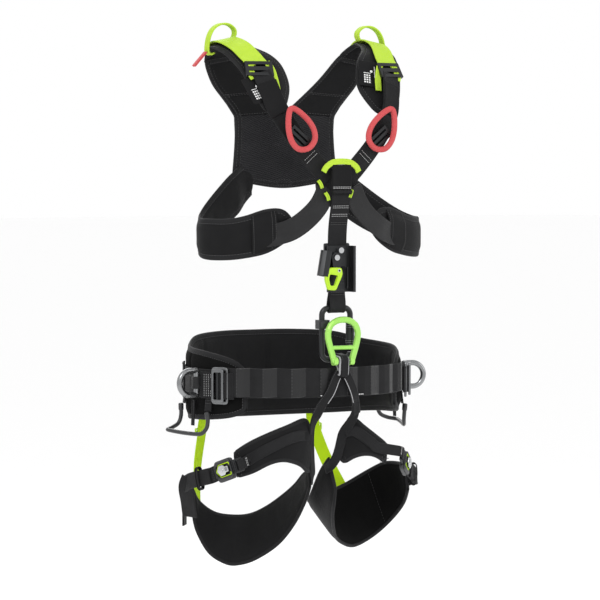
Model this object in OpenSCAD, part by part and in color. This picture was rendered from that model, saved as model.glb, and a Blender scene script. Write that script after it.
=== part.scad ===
// Full-body work safety harness: padded waist belt and leg loops, a chest ring with back yoke,
// a chest rope clamp between them and a ventral ring at the front.
// Origin at the centre of the waist opening. +Z is up the wearer, -Y is the front, -X is the
// wearer's right. Sides ending in _r are the wearer's right, _l the wearer's left.

/* [Waist belt] */
// Half width of the belt pad's middle surface
belt_a = 172; // [165:1:180]
// Half depth of the belt pad's middle surface
belt_b = 144; // [138:1:150]
// Thickness of the belt pad
belt_pad_t = 12; // [8:1:14]
// Width of the waist webbing
belt_web_w = 45; // [40:1:46]
// Angle from the front centre to each belt buckle
belt_buckle_angle = 64; // [62:1:66]

/* [Webbing] */
// Thickness of the load-bearing webbing
web_t = 2.4; // [2:0.2:2.6]
// Width of the vertical strap between the chest and the ventral ring
vertical_strap_w = 28; // [26:1:28]
// Width of the shoulder straps
shoulder_strap_w = 31; // [28:1:34]
// Width of the elastic straps behind the thighs
elastic_w = 20; // [16:1:24]

/* [Pads] */
// Thickness of the chest, shoulder and leg pads
pad_t = 10; // [8:1:11]

/* [Hardware] */
// Bar diameter of the ventral ring
ring_bar_d = 10; // [9:0.5:11]
// Bar diameter of the side rings
side_bar_d = 9; // [8:0.5:9.5]
// Bar diameter of the connector behind the ventral ring
connector_bar_d = 9; // [8:0.5:9.5]
// Diameter of the gear loop tubes
gear_tube_d = 6.5; // [5:0.5:7]
// Bar diameter of the soft chest loops
chest_loop_d = 9; // [8:0.5:10]

/* [Hidden] */

// Colours
cloth = [0.10, 0.10, 0.11];
web = [0.16, 0.16, 0.17];
neon = [0.78, 0.92, 0.30];
lime = [0.66, 0.80, 0.14];
coral = [0.92, 0.39, 0.41];
mint = [0.74, 0.98, 0.50];
silver = [0.70, 0.71, 0.72];
steel = [0.45, 0.46, 0.48];
dark = [0.14, 0.15, 0.16];

// Running gap between pieces that touch on the real harness
gap = 1;
// Sides of a swept tube
tube_sides = 10;
// Facets of a round bar
bar_fn = 32;

// ---- Shape helpers ----

function unit(v) = v / norm(v);

// A point on the smooth curve through p, between p[i] and p[i + 1]
function curve_point(p, i, t) =
    let (n = len(p) - 1,
         a = i == 0 ? 2 * p[0] - p[1] : p[i - 1],
         b = p[i],
         c = p[i + 1],
         d = i + 2 > n ? 2 * p[n] - p[n - 1] : p[i + 2])
    0.5 * (2 * b + (c - a) * t + (2 * a - 5 * b + 4 * c - d) * t * t
        + (3 * b - a - 3 * c + d) * t * t * t);

function curve(p, steps) =
    [for (i = [0 : len(p) - 2]) for (k = [0 : steps - 1]) curve_point(p, i, k / steps), p[len(p) - 1]];

// A point on an upright ellipse; the angle t runs from the front centre to the wearer's left
function oval(a, b, t, z, cy = 0) = [a * sin(t), cy - b * cos(t), z];

// Direction along a list of points at point i
function along(p, i) = unit(p[min(i + 1, len(p) - 1)] - p[max(i - 1, 0)]);

// A closed solid through a row of rings with the same number of corners each
module loft(rings, closed = false) {
    m = len(rings[0]);
    n = len(rings);
    last = closed ? n - 1 : n - 2;
    sides = [for (i = [0 : last]) for (k = [0 : m - 1])
        let (j = (i + 1) % n, q = (k + 1) % m)
        each [[i * m + k, i * m + q, j * m + q], [i * m + k, j * m + q, j * m + k]]];
    caps = closed ? [] : [[for (k = [m - 1 : -1 : 0]) k], [for (k = [0 : m - 1]) (n - 1) * m + k]];
    polyhedron(points = [for (r = rings) each r], faces = concat(sides, caps), convexity = 8);
}

// A padded panel between two edges: thin at both edges, full thickness between them
module panel(edge_a, edge_b, thick, bevel = 9) {
    middle = (edge_a + edge_b) / 2;
    loft([for (i = [0 : len(edge_a) - 1])
        let (a = edge_a[i], b = edge_b[i], across = unit(b - a),
             face = unit(cross(along(middle, i), across)) * thick / 2,
             inset = across * min(bevel, norm(b - a) / 3))
        [a + face * 0.5, a + inset + face, b - inset + face, b + face * 0.5,
         b - face * 0.5, b - inset - face, a + inset - face, a - face * 0.5]]);
}

// A flat strap along the points, whose broad face looks along the directions in faces
module strap(points, faces, width, thick) {
    loft([for (i = [0 : len(points) - 1])
        let (go = along(points, i), across = unit(cross(faces[i], go)), out = cross(go, across))
        [points[i] - across * width / 2 + out * thick / 2, points[i] + across * width / 2 + out * thick / 2,
         points[i] + across * width / 2 - out * thick / 2, points[i] - across * width / 2 - out * thick / 2]]);
}

// A smooth strap through control rows of [point, face direction]
module curved_strap(rows, width, thick, steps = 3) {
    strap(curve([for (r = rows) r[0]], steps), curve([for (r = rows) r[1]], steps), width, thick);
}

// A round tube along points that lie near one plane, whose normal is flat
module tube(points, d, flat, closed = false) {
    n = len(points);
    loft([for (i = [0 : n - 1])
        let (go = closed ? unit(points[(i + 1) % n] - points[(i + n - 1) % n]) : along(points, i),
             u = unit(cross(flat, go)), v = cross(go, u))
        [for (k = [0 : tube_sides - 1])
            points[i] + d / 2 * (u * cos(-360 * k / tube_sides) + v * sin(-360 * k / tube_sides))]], closed);
}

// Places its children on the belt: x runs along the belt, y points outward, z is up
module on_belt(t, out = 0, z = 0) {
    p = oval(belt_a + out, belt_b + out, t, z);
    translate(p) rotate([0, 0, atan2(p[1] / belt_b, p[0] / belt_a) - 90]) children();
}

// A flat rectangular ring lying in the XZ plane, with rounded corners
module flat_ring(w, h, bar_w, bar_h, thick) {
    rotate([90, 0, 0]) linear_extrude(thick, center = true) difference() {
        rounded(w, h, 3);
        rounded(w - 2 * bar_w, h - 2 * bar_h, 1.5);
    }
}

module rounded(w, h, r) {
    union() {
        square([w - 2 * r, h], center = true);
        square([w, h - 2 * r], center = true);
        for (x = [-1, 1], y = [-1, 1]) translate([x * (w / 2 - r), y * (h / 2 - r)]) circle(r, $fn = bar_fn);
    }
}

// Draws its children on the wearer's left from a design on the wearer's right
module other_side() { mirror([1, 0, 0]) children(); }

// ---- Waist belt ----

// The pad's top and bottom height at angles from the front centre
belt_profile = [
    [50, 14, -46], [56, 28, -54], [65, 36, -59], [82, 43, -63], [100, 46, -65],
    [116, 50, -68], [134, 60, -72], [158, 63, -75], [180, 63, -76]
];
belt_profile_all = concat(belt_profile, [for (i = [7 : -1 : 0])
    [360 - belt_profile[i][0], belt_profile[i][1], belt_profile[i][2]]]);
// Middle surface of the waist webbing, outside the pad
belt_web_out = belt_pad_t / 2 + gap + web_t / 2;
belt_web_z = -6;

module belt_pad() color(cloth) {
    rows = curve(belt_profile_all, 2);
    panel([for (r = rows) oval(belt_a, belt_b, r[0], r[1])],
          [for (r = rows) oval(belt_a, belt_b, r[0], r[2])], belt_pad_t);
}

module belt_band(from, to, step, out, z, thick) {
    rows = [for (t = [from : step : to]) t];
    strap([for (t = rows) oval(belt_a + out, belt_b + out, t, z)],
          [for (t = rows) oval(belt_b, belt_a, t, 0)], belt_web_w, thick);
}

module belt_web() color(web) belt_band(70, 290, 10, belt_web_out, belt_web_z, web_t);

// The folded elastic keeper over the front webbing
module front_band() color(web) belt_band(-60, 60, 8, belt_web_out + 1, -2, 5);

module belt_buckle_frame_l() color(silver)
    on_belt(belt_buckle_angle, belt_web_out + 5, -8) flat_ring(30, 58, 4.5, 6, 4);
module belt_buckle_frame_r() other_side() belt_buckle_frame_l();

module belt_buckle_slider_l() color(silver)
    on_belt(belt_buckle_angle, belt_web_out + 11.5, -8) flat_ring(22, 52, 4, 5, 4);
module belt_buckle_slider_r() other_side() belt_buckle_slider_l();

// ---- Side rings ----

side_ring_t = 80;
side_ring_out = belt_web_out + 9.8;
side_ring_half = 19;

module side_ring_l() color(silver) on_belt(side_ring_t, side_ring_out, -5) {
    cylinder(h = 2 * side_ring_half, d = side_bar_d, center = true, $fn = bar_fn);
    for (s = [-1, 1]) translate([0, 0, s * side_ring_half]) {
        sphere(d = side_bar_d, $fn = bar_fn);
        rotate([-90, 0, 0]) cylinder(h = 14, d = side_bar_d, $fn = bar_fn);
    }
    translate([0, 14, 0]) rotate([0, -90, 0]) rotate_extrude(angle = 180, $fn = 64)
        translate([side_ring_half, 0]) circle(d = side_bar_d, $fn = bar_fn);
}
module side_ring_r() other_side() side_ring_l();

// The webbing loop sewn to the belt that holds the straight bar of the side ring
module side_ring_keeper_l() color(web) on_belt(side_ring_t, side_ring_out, -5)
    difference() {
        union() {
            cylinder(h = 20, d = side_bar_d + 7, center = true, $fn = bar_fn);
            translate([0, -3.2, 0]) cube([20, 6.4, 20], center = true);
        }
        cylinder(h = 22, d = side_bar_d + 1.2, center = true, $fn = bar_fn);
    }
module side_ring_keeper_r() other_side() side_ring_keeper_l();

// ---- Gear loops ----

gear_loop_path = [
    [-179, 45, -46], [-179, 45, -62], [-184, 44, -74], [-196, 41, -80], [-206, 35, -82], [-208, 29, -83],
    [-200, 3, -85], [-188, -25, -86], [-182, -37, -84], [-178, -44, -76], [-177, -47, -66], [-178, -47, -54]
];
module gear_loop_r() color(dark) tube(curve(gear_loop_path, 2), gear_tube_d, [-0.5, 0, 1]);
module gear_loop_l() other_side() gear_loop_r();

// ---- Back yoke and shoulders ----

// Each row: the arm's outer edge, then its neck edge, from the lower centre of the back upward
yoke_outer = [[-93, 31, 316], [-88, 32, 372], [-89, 32, 412], [-107, 32, 437], [-128, 31, 462],
    [-141, 28, 488], [-145.5, 23.4, 501.5]];
yoke_inner = [[-2, 34, 299], [-2, 36, 360], [-3, 36, 418], [-28, 36, 438], [-64, 35, 470],
    [-90, 31, 500], [-98, 27.4, 510]];

module back_yoke() color(cloth) {
    half_yoke();
    other_side() half_yoke();
    translate([-3, 31, 303]) cube([6, pad_t - 2, 112]);
}
module half_yoke() panel(curve(yoke_outer, 2), curve(yoke_inner, 2), pad_t);

// The padded shoulder, from the end of the yoke's arm over the top and down the front
shoulder_outer = [[-146, 22, 505], [-153, 2, 516], [-154, -24, 518], [-150, -56, 508], [-146, -74, 496], [-140, -92, 480],
    [-129, -112, 448], [-118, -122, 424]];
shoulder_inner = [[-100, 26, 513], [-110, 4, 527.5], [-108, -22, 526], [-95, -54, 516], [-80, -72, 506], [-67, -86, 488],
    [-62, -100, 456], [-78, -117, 424]];
module shoulder_pad_r() color(cloth) panel(curve(shoulder_outer, 2), curve(shoulder_inner, 2), pad_t);
module shoulder_pad_l() other_side() shoulder_pad_r();

// Bright webbing over the shoulder pad
shoulder_web_rows = [
    [[-131.8, 10, 528], [-0.25, 0.35, 0.9]], [[-131.6, -4, 531.4], [-0.2, 0.05, 1]],
    [[-130.6, -28, 530.6], [-0.2, -0.15, 1]], [[-126, -57.6, 520.8], [-0.2, -0.4, 0.9]],
    [[-120, -80.5, 505], [-0.15, -0.65, 0.78]], [[-118.2, -88.8, 499], [-0.1, -0.72, 0.7]]
];
module shoulder_web_r() color(neon) {
    curved_strap(shoulder_web_rows, 36, web_t);
    top_loop();
}
module shoulder_web_l() other_side() shoulder_web_r();

// Hanging loop on top of each shoulder
top_loop_path = [[-157.5, -8, 512], [-158, -8, 523], [-155, -8, 537], [-148, -8, 549], [-136, -8, 556],
    [-122, -8, 556], [-112, -8, 549], [-110.5, -8, 541], [-114, -8, 534.6]];
module top_loop() {
    points = curve(top_loop_path, 2);
    strap(points, [for (i = [0 : len(points) - 1]) cross(along(points, i), [0, 1, 0])], 15, web_t);
}

module pull_tab() color(coral)
    translate([-171, -8, 501]) rotate([0, -47, 0]) cube([30, 9, 3], center = true);

// Three-bar buckle at the front of each shoulder
shoulder_buckle_at = [-116, -104.2, 484];
shoulder_buckle_turn = [-32, 0, -12];
module shoulder_buckle_r() color(dark) translate(shoulder_buckle_at) rotate(shoulder_buckle_turn)
    difference() {
        cube([44, 5, 26], center = true);
        for (s = [-1, 1]) translate([0, 0, s * 5.5]) cube([34, 8, 4], center = true);
    }
module shoulder_buckle_l() other_side() shoulder_buckle_r();

// ---- Chest straps ----

front_strap_rows = [
    [[-112, -114.5, 468.5], [-0.3, -0.9, 0.4]], [[-108, -122, 452], [-0.3, -0.9, 0.3]],
    [[-101, -133, 425], [-0.3, -0.95, 0.2]], [[-89, -140, 402], [-0.2, -1, 0.1]],
    [[-73, -144, 378], [-0.15, -1, 0]], [[-55, -146, 356], [-0.1, -1, 0]], [[-38, -146, 337], [0, -1, 0]],
    [[-24, -146, 322], [0, -1, 0]]
];
module front_strap_r() color(web) curved_strap(front_strap_rows, shoulder_strap_w, web_t);
module front_strap_l() other_side() front_strap_r();

// Soft teardrop loop hanging in front of each strap
chest_loop_at = [-74, -159.5, 392];
chest_loop_path = [[0, 0, 34], [-10, 0, 24], [-19, 0, 4], [-21, 0, -14], [-15, 0, -28], [0, 0, -34],
    [15, 0, -28], [21, 0, -14], [19, 0, 4], [10, 0, 24]];
chest_loop_lean = -26;
module chest_loop_r() color(coral) translate(chest_loop_at) rotate([0, chest_loop_lean, 0])
    tube(closed_curve(chest_loop_path, 3), chest_loop_d, [0, 1, 0], true);
module chest_loop_l() other_side() chest_loop_r();

function closed_curve(p, steps) = let (n = len(p))
    [for (i = [0 : n - 1]) for (k = [0 : steps - 1])
        curve_point([p[(i + n - 1) % n], p[i], p[(i + 1) % n], p[(i + 2) % n]], 1, k / steps)];

// Adjuster buckle behind the loop
module chest_adjuster_r() color(dark) translate([-72, -151.5, 378]) rotate([0, 40, 0])
    difference() {
        cube([38, 4, 20], center = true);
        for (s = [-1, 1]) translate([0, 0, s * 4]) cube([31, 8, 3.4], center = true);
    }
module chest_adjuster_l() other_side() chest_adjuster_r();

// ---- Underarm ring ----

chest_a = 191;
chest_b = 80;
chest_cy = -55;

// Angle from the front centre, top height and bottom height of the underarm pad
underarm_profile = [[-22, 252, 228], [-27, 266, 214], [-36, 266, 200], [-48, 256, 193], [-60, 251, 190],
    [-78, 251, 190], [-95, 252, 194], [-112, 262, 204], [-126, 280, 219], [-138, 302, 234], [-147, 321, 250],
    [-155, 333, 268], [-162, 340, 288]];

module underarm_pad_r() color(cloth) {
    rows = curve(underarm_profile, 2);
    panel([for (r = rows) oval(chest_a, chest_b, r[0], r[1], chest_cy)],
          [for (r = rows) oval(chest_a, chest_b, r[0], r[2], chest_cy)], pad_t);
}
module underarm_pad_l() other_side() underarm_pad_r();

// The strap from the underarm pad up to the centre of the chest
underarm_strap_rows = [
    [[-130, -132.5, 224], [-0.45, -0.9, 0]], [[-104, -138.5, 227], [-0.3, -1, 0]], [[-80, -144, 236], [-0.2, -1, 0]],
    [[-56, -148, 252], [-0.1, -1, 0]], [[-36, -151, 273], [0, -1, 0]], [[-22, -152, 300], [0, -1, 0]]
];
module underarm_strap_r() color(web) curved_strap(underarm_strap_rows, 34, web_t);
module underarm_strap_l() other_side() underarm_strap_r();

// Bright arc that gathers the shoulder straps at the centre
keeper_path = [[-31, -157, 327], [-20, -158, 338], [0, -158, 343], [20, -158, 338], [31, -157, 327]];
module centre_keeper() color(neon) {
    points = curve(keeper_path, 3);
    strap(points, [for (p = points) [0, -1, 0]], 12, 3);
}

// The strap from the chest junction down to the rope clamp
sternum_rows = [
    [[0, -156.5, 326], [0, -1, 0]], [[0, -157, 300], [0, -1, 0]], [[0, -155.6, 280], [0, -1, 0]],
    [[0, -151, 262], [0, -1, 0]], [[0, -146, 240], [0, -1, 0]], [[0, -144, 216], [0, -1, 0]]
];
module sternum_strap() color(web) curved_strap(sternum_rows, 33, web_t);

// ---- Rope clamp ----

clamp_y = -150;

// The wire-like bracket that ties the clamp to the strap above
module clamp_bracket() color(dark) translate([0, clamp_y + 8.2, 207]) flat_ring(44, 14, 4, 4, 4);

// A plate with a folded rope channel on the wearer's right and a guard lip on the left
module clamp_shell() color(dark) difference() {
    union() {
        translate([-20, clamp_y, 138]) cube([42, 3, 72]);
        translate([19, clamp_y - 13, 138]) cube([4, 14, 72]);
        rope_channel();
    }
    translate([1, clamp_y + 5, 203]) rotate([90, 0, 0]) cylinder(h = 10, d = 6.2, $fn = bar_fn);
    translate([-9, clamp_y + 5, 192]) rotate([90, 0, 0]) cylinder(h = 10, d = 6.2, $fn = bar_fn);
}
module rope_channel() translate([-30, clamp_y - 5, 160]) rotate([0, 10, 0]) difference() {
    translate([0, 0, 3]) cylinder(h = 40, d = 22, $fn = 48);
    translate([0, 0, 2]) cylinder(h = 42, d = 16.5, $fn = 48);
    translate([2, -30, 2]) cube([30, 34.5, 42]);
}

// The toothed cam that grips the rope
module clamp_cam() color(steel) translate([-9, clamp_y - 1, 192]) rotate([90, 0, 0]) {
    difference() {
        linear_extrude(8) {
            circle(8, $fn = 32);
            polygon([[-8, 0], [8, 0], [7, -20], [-5, -20]]);
            translate([1, -20]) circle(6, $fn = 32);
        }
        translate([0, 0, -1]) cylinder(h = 10, d = 6.2, $fn = bar_fn);
    }
    translate([1, -20, 7]) cylinder(h = 9, d = 3, $fn = bar_fn);
}

// The catch with a finger hole that locks the cam open
module clamp_catch() color(lime) translate([-8, clamp_y - 9.5, 172]) rotate([90, 0, 0]) difference() {
    linear_extrude(6) difference() {
        hull() {
            translate([-7, -2]) circle(5, $fn = 32);
            translate([9, -4]) circle(5, $fn = 32);
            translate([-3, -26]) circle(7, $fn = 32);
        }
        translate([-1, -16]) circle(6.5, $fn = 32);
    }
    translate([0, 0, -1]) cylinder(h = 8, d = 3.1, $fn = bar_fn);
}

module clamp_rivets() color(silver) {
    translate([1, clamp_y + 4, 203]) rivet(6, 9);
    translate([-9, clamp_y + 4, 192]) rivet(6, 14);
}
module rivet(d, h) rotate([90, 0, 0]) {
    cylinder(h = h, d = d, $fn = bar_fn);
    translate([0, 0, h]) cylinder(h = 1.6, d = 1.5 * d, $fn = bar_fn);
}

// The strap from the clamp down to the connector, looped round its top bar
module lower_strap() color(web) {
    translate([-vertical_strap_w / 2 - 3, 0, 0]) rotate([90, 0, 90]) linear_extrude(vertical_strap_w) {
        translate([connector_y, 113]) difference() {
            circle(8.4, $fn = 48);
            circle(5.6, $fn = 48);
            translate([-20, 3.5]) square([40, 20]);
        }
        translate([connector_y + 5.4, 116]) square([2.4, 22]);
        polygon([[connector_y - 8, 116], [connector_y - 5.4, 116], [connector_y + 2.4, 138],
            [connector_y + 2.4, 180], [connector_y, 180], [connector_y, 138]]);
    }
}

// ---- Connector behind the ventral ring ----

connector_y = -146;
connector_l = -28;
connector_r = 22;
connector_top = 113;
connector_bottom = 33;
bend_r = 11;
gate_top = 92;
gate_bottom = 48;

module bar(from, to, d) {
    v = to - from;
    translate(from) rotate([0, acos(v[2] / norm(v)), atan2(v[1], v[0])]) cylinder(h = norm(v), d = d, $fn = bar_fn);
}
module bend(at, start) translate(at) rotate([90, 0, 0]) rotate([0, 0, start])
    rotate_extrude(angle = 90, $fn = 48) translate([bend_r, 0]) circle(d = connector_bar_d, $fn = bar_fn);

module connector() color(dark) {
    y = connector_y;
    bar([connector_l, y, connector_bottom + bend_r], [connector_l, y, connector_top - bend_r], connector_bar_d);
    bar([connector_l + bend_r, y, connector_top], [connector_r - bend_r, y, connector_top], connector_bar_d);
    bar([connector_l + bend_r, y, connector_bottom], [connector_r - bend_r, y, connector_bottom], connector_bar_d);
    bend([connector_l + bend_r, y, connector_top - bend_r], 90);
    bend([connector_r - bend_r, y, connector_top - bend_r], 0);
    bend([connector_l + bend_r, y, connector_bottom + bend_r], 180);
    bend([connector_r - bend_r, y, connector_bottom + bend_r], 270);
    bar([connector_r, y, gate_top + 1], [connector_r, y, connector_top - bend_r], connector_bar_d);
}
module connector_gate() color(steel)
    bar([connector_r, connector_y, gate_bottom], [connector_r, connector_y, gate_top], 7.5);
module connector_sleeve() color(dark) translate([connector_r, connector_y, 55]) difference() {
    cylinder(h = 34, d = 13.5, $fn = 48);
    translate([0, 0, -1]) cylinder(h = 36, d = 7.6, $fn = 48);
}
module connector_retainer() color(dark) translate([connector_l, connector_y, 88]) difference() {
    translate([-8, -7, -7]) cube([18, 14, 14]);
    cylinder(h = 30, d = connector_bar_d + 0.4, center = true, $fn = bar_fn);
}

// ---- Ventral ring and tie-in loop ----

ring_y = -163;
ring_pin_z = 31;
ring_path = [[-15, ring_y, 30], [-19, ring_y, 42], [-24.5, ring_y, 60], [-26.5, ring_y, 74], [-22, ring_y, 87],
    [-11, ring_y, 94], [0, ring_y, 95.5], [11, ring_y, 94], [22, ring_y, 87], [26.5, ring_y, 74],
    [24.5, ring_y, 60], [19, ring_y, 42], [15, ring_y, 30]];
module ventral_ring() color(mint) {
    tube(curve(ring_path, 2), ring_bar_d, [0, 1, 0]);
    bar([-19, ring_y, 52], [19, ring_y, 52], 6.5);
    for (x = [-18, 11]) bar([x, ring_y, ring_pin_z], [x + 7, ring_y, ring_pin_z], 13);
}
module ring_pin() color(silver) bar([-11, ring_y, ring_pin_z], [11, ring_y, ring_pin_z], 7);

// The doubled webbing loop that holds the ring's pin and the connector's lower bar
module tie_in_loop() color(web) {
    translate([-9, 0, 0]) rotate([90, 0, 90]) linear_extrude(18) difference() {
        hull() {
            translate([ring_y, ring_pin_z]) circle(7, $fn = 32);
            translate([connector_y, connector_bottom]) circle(8, $fn = 32);
            translate([ring_y - 0.5, 12]) circle(4, $fn = 32);
        }
        translate([ring_y, ring_pin_z]) circle(4, $fn = 32);
        translate([connector_y, connector_bottom]) circle(5, $fn = 32);
        translate([-158.7, 0]) square([20, 21.2]);
    }
    curved_strap([for (r = riser_r_rows) [[-r[0][0], r[0][1], r[0][2]], [-r[1][0], r[1][1], r[1][2]]]], 18, web_t);
    curved_strap(riser_r_rows, 18, web_t);
}
riser_r_rows = [[[-5, -160.6, 14], [0.2, -1, 0]], [[-12, -160.6, 2], [0, -1, 0]], [[-21, -160.6, -18], [-0.1, -1, 0]],
    [[-31, -150.7, -38], [-0.2, -1, 0]], [[-40, -140, -56], [-0.2, -1, 0]]];

// ---- Leg loops ----

// The right loop hangs a little lower than the left one, and the left one sits further forward
front_pad_r_top = [[-28, -106, -90], [-36, -117, -68], [-50, -126, -60], [-80, -130, -69], [-112, -124, -81],
    [-136, -108, -95], [-152, -88, -111]];
front_pad_r_bottom = [[-26, -104, -146], [-42, -119, -143], [-58, -128, -132], [-86, -131, -124], [-108, -125, -128],
    [-130, -112, -141], [-148, -92, -150]];
front_pad_l_top = [[24, -108, -100], [30, -114, -72], [42, -122, -62], [56, -128, -74], [74, -131, -88], [98, -129, -105]];
front_pad_l_bottom = [[22, -107, -122], [29, -113, -134], [43, -122, -125], [60, -129, -121], [78, -131, -125],
    [96, -129, -137]];

rear_pad_r_top = [[-12, -76, -146], [-10, -50, -155], [-14, -30, -173], [-23, -6, -192], [-40, 20, -213],
    [-60, 40, -226], [-84, 55, -228], [-112, 63, -222], [-139, 63, -202], [-154, 54, -180]];
rear_pad_r_bottom = [[-16, -86, -172], [-17, -72, -197], [-25, -50, -234], [-42, -25, -269], [-68, 5, -295],
    [-90, 25, -304], [-106, 34, -302], [-130, 45, -285], [-148, 52, -251], [-156, 50, -225]];
rear_pad_l_top = [[16, -88, -126], [14, -62, -151], [16, -28, -190], [26, 0, -204], [48, 34, -204], [85, 54, -200],
    [124, 60, -189], [164, 56, -169], [183, 30, -153], [190, -5, -150], [184, -40, -150]];
rear_pad_l_bottom = [[27, -92, -176], [29, -84, -200], [36, -66, -222], [52, -40, -247], [76, -7, -270],
    [112, 22, -286], [142, 40, -287], [176, 44, -272], [192, 16, -244], [195, -16, -216], [183, -50, -190]];

module leg_front_pad_r() color(cloth) panel(curve(front_pad_r_top, 2), curve(front_pad_r_bottom, 2), pad_t - 2);
module leg_front_pad_l() color(cloth) panel(curve(front_pad_l_top, 2), curve(front_pad_l_bottom, 2), pad_t - 2);
module leg_rear_pad_r() color(cloth) panel(curve(rear_pad_r_top, 2), curve(rear_pad_r_bottom, 2), pad_t - 2);
module leg_rear_pad_l() color(cloth) panel(curve(rear_pad_l_top, 2), curve(rear_pad_l_bottom, 2), pad_t - 2);

// Buckle frames: x runs along the strap toward the front pad, -y points out
module at_leg_buckle_r() translate([-168, -88, -138]) rotate([0, 0, -61]) rotate([0, -20, 0]) children();
module at_leg_buckle_l() translate([146, -104, -140]) rotate([0, 0, 47]) rotate([0, 30, 0]) mirror([1, 0, 0]) children();

// A hollow housing that the tongue slides into, open toward the pad
module leg_buckle_body() color(dark) difference() {
    translate([-17, -5, -17]) cube([34, 10, 34]);
    translate([-14, -2.5, -12]) cube([40, 5, 24]);
    translate([-40, -2.5, -12]) cube([24, 5, 24]);
    translate([2, -12, -7.5]) cube([10, 12, 15]);
}
module leg_buckle_lever() color(silver) {
    translate([-12, -9, -7]) cube([24, 3, 14]);
    translate([4.5, -6.2, -7]) cube([3, 3, 14]);
}
module leg_buckle_tongue() color(steel) difference() {
    translate([-8, -1.5, -11]) cube([44, 3, 22]);
    translate([3, -4, -8]) cube([6, 8, 16]);
    translate([24, -4, -8]) cube([7, 8, 16]);
}

module leg_buckle_r() at_leg_buckle_r() leg_buckle_body();
module leg_buckle_l() at_leg_buckle_l() leg_buckle_body();
module leg_lever_r() at_leg_buckle_r() leg_buckle_lever();
module leg_lever_l() at_leg_buckle_l() leg_buckle_lever();
module leg_tongue_r() at_leg_buckle_r() leg_buckle_tongue();
module leg_tongue_l() at_leg_buckle_l() leg_buckle_tongue();

// Webbing from each buckle round the outside of the leg to the rear pad, with a free tail
leg_web_r_rows = [[[-181, -66, -148], [-0.87, -0.48, 0]], [[-189, -44, -154], [-1, -0.2, 0]], [[-193, -16, -161], [-1, 0, 0]],
    [[-188, 14, -172], [-1, 0.3, 0]], [[-177, 42, -184], [-0.9, 0.5, 0]], [[-167, 58, -200], [-0.8, 0.6, 0]],
    [[-165, 62, -220], [-0.8, 0.6, 0]], [[-165, 62, -240], [-0.8, 0.6, 0]]];
leg_web_l_rows = [[[162, -88, -153], [0.73, -0.68, 0]], [[177, -74, -162], [0.8, -0.6, 0]], [[192, -56, -169], [0.95, -0.3, 0]],
    [[199, -34, -172], [1, 0, 0]], [[202, -14, -176], [1, 0, 0]]];
module leg_web_r() color(web) curved_strap(leg_web_r_rows, 25, web_t, 2);
module leg_web_l() color(web) curved_strap(leg_web_l_rows, 25, web_t, 2);

// Elastic straps from the belt's lower edge down to the rear pads
rear_elastic_rows = [[[-97, 128, -70], [-0.4, 0.9, 0]], [[-104, 126, -100], [-0.4, 0.9, 0]], [[-118, 110, -150], [-0.4, 0.9, 0.1]],
    [[-132, 84, -196], [-0.4, 0.9, 0.2]], [[-136, 76, -216], [-0.4, 0.9, 0.1]]];
module rear_elastic_r() color(lime) curved_strap(rear_elastic_rows, elastic_w, 2);
module rear_elastic_l() other_side() rear_elastic_r();

// ---- The model ----

belt_pad();
belt_web();
front_band();
belt_buckle_frame_r();
belt_buckle_frame_l();
belt_buckle_slider_r();
belt_buckle_slider_l();
side_ring_r();
side_ring_l();
side_ring_keeper_r();
side_ring_keeper_l();
gear_loop_r();
gear_loop_l();
back_yoke();
shoulder_pad_r();
shoulder_pad_l();
underarm_pad_r();
underarm_pad_l();
shoulder_web_r();
shoulder_web_l();
pull_tab();
shoulder_buckle_r();
shoulder_buckle_l();
front_strap_r();
front_strap_l();
chest_loop_r();
chest_loop_l();
chest_adjuster_r();
chest_adjuster_l();
underarm_strap_r();
underarm_strap_l();
centre_keeper();
sternum_strap();
clamp_bracket();
clamp_shell();
clamp_cam();
clamp_catch();
clamp_rivets();
lower_strap();
connector();
connector_gate();
connector_sleeve();
connector_retainer();
ventral_ring();
ring_pin();
tie_in_loop();
leg_front_pad_r();
leg_front_pad_l();
leg_rear_pad_r();
leg_rear_pad_l();
leg_buckle_r();
leg_buckle_l();
leg_lever_r();
leg_lever_l();
leg_tongue_r();
leg_tongue_l();
leg_web_r();
leg_web_l();
rear_elastic_r();
rear_elastic_l();
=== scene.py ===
"""Looks of the safety harness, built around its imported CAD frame. Points are in millimetres and are
scaled to metres when a mesh is made. +Z is up, -Y is the front, -X is the wearer's right."""
import math

import bmesh
import bpy
import numpy as np
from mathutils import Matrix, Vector, noise


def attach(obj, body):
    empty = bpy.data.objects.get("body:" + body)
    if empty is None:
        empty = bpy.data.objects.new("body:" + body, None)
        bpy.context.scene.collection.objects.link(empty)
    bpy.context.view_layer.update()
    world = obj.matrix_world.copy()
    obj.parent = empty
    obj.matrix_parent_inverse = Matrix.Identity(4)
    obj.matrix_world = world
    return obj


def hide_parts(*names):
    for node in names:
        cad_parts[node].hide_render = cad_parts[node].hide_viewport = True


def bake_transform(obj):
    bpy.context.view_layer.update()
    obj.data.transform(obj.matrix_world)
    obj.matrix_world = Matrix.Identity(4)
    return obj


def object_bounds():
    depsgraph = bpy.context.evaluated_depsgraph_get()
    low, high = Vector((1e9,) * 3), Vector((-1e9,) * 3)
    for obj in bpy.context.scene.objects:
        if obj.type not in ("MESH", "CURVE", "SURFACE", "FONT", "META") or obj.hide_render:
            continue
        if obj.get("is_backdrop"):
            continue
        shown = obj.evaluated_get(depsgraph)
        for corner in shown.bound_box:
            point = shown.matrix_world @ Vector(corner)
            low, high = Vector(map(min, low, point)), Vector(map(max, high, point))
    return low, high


MM = 0.001
UP = np.array([0.0, 0.0, 1.0])
FRONT = np.array([0.0, -1.0, 0.0])
SIDES = {"r": 1.0, "l": -1.0}

# The waist belt and the chest ring are ovals: half width, half depth, centre depth
BELT = (172.0, 144.0, 0.0)
CHEST = (191.0, 80.0, -55.0)
PAD_T = 10.0
BELT_PAD_T = 12.0
WEB_T = 2.4
BELT_WEB_OUT = 8.2
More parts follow.
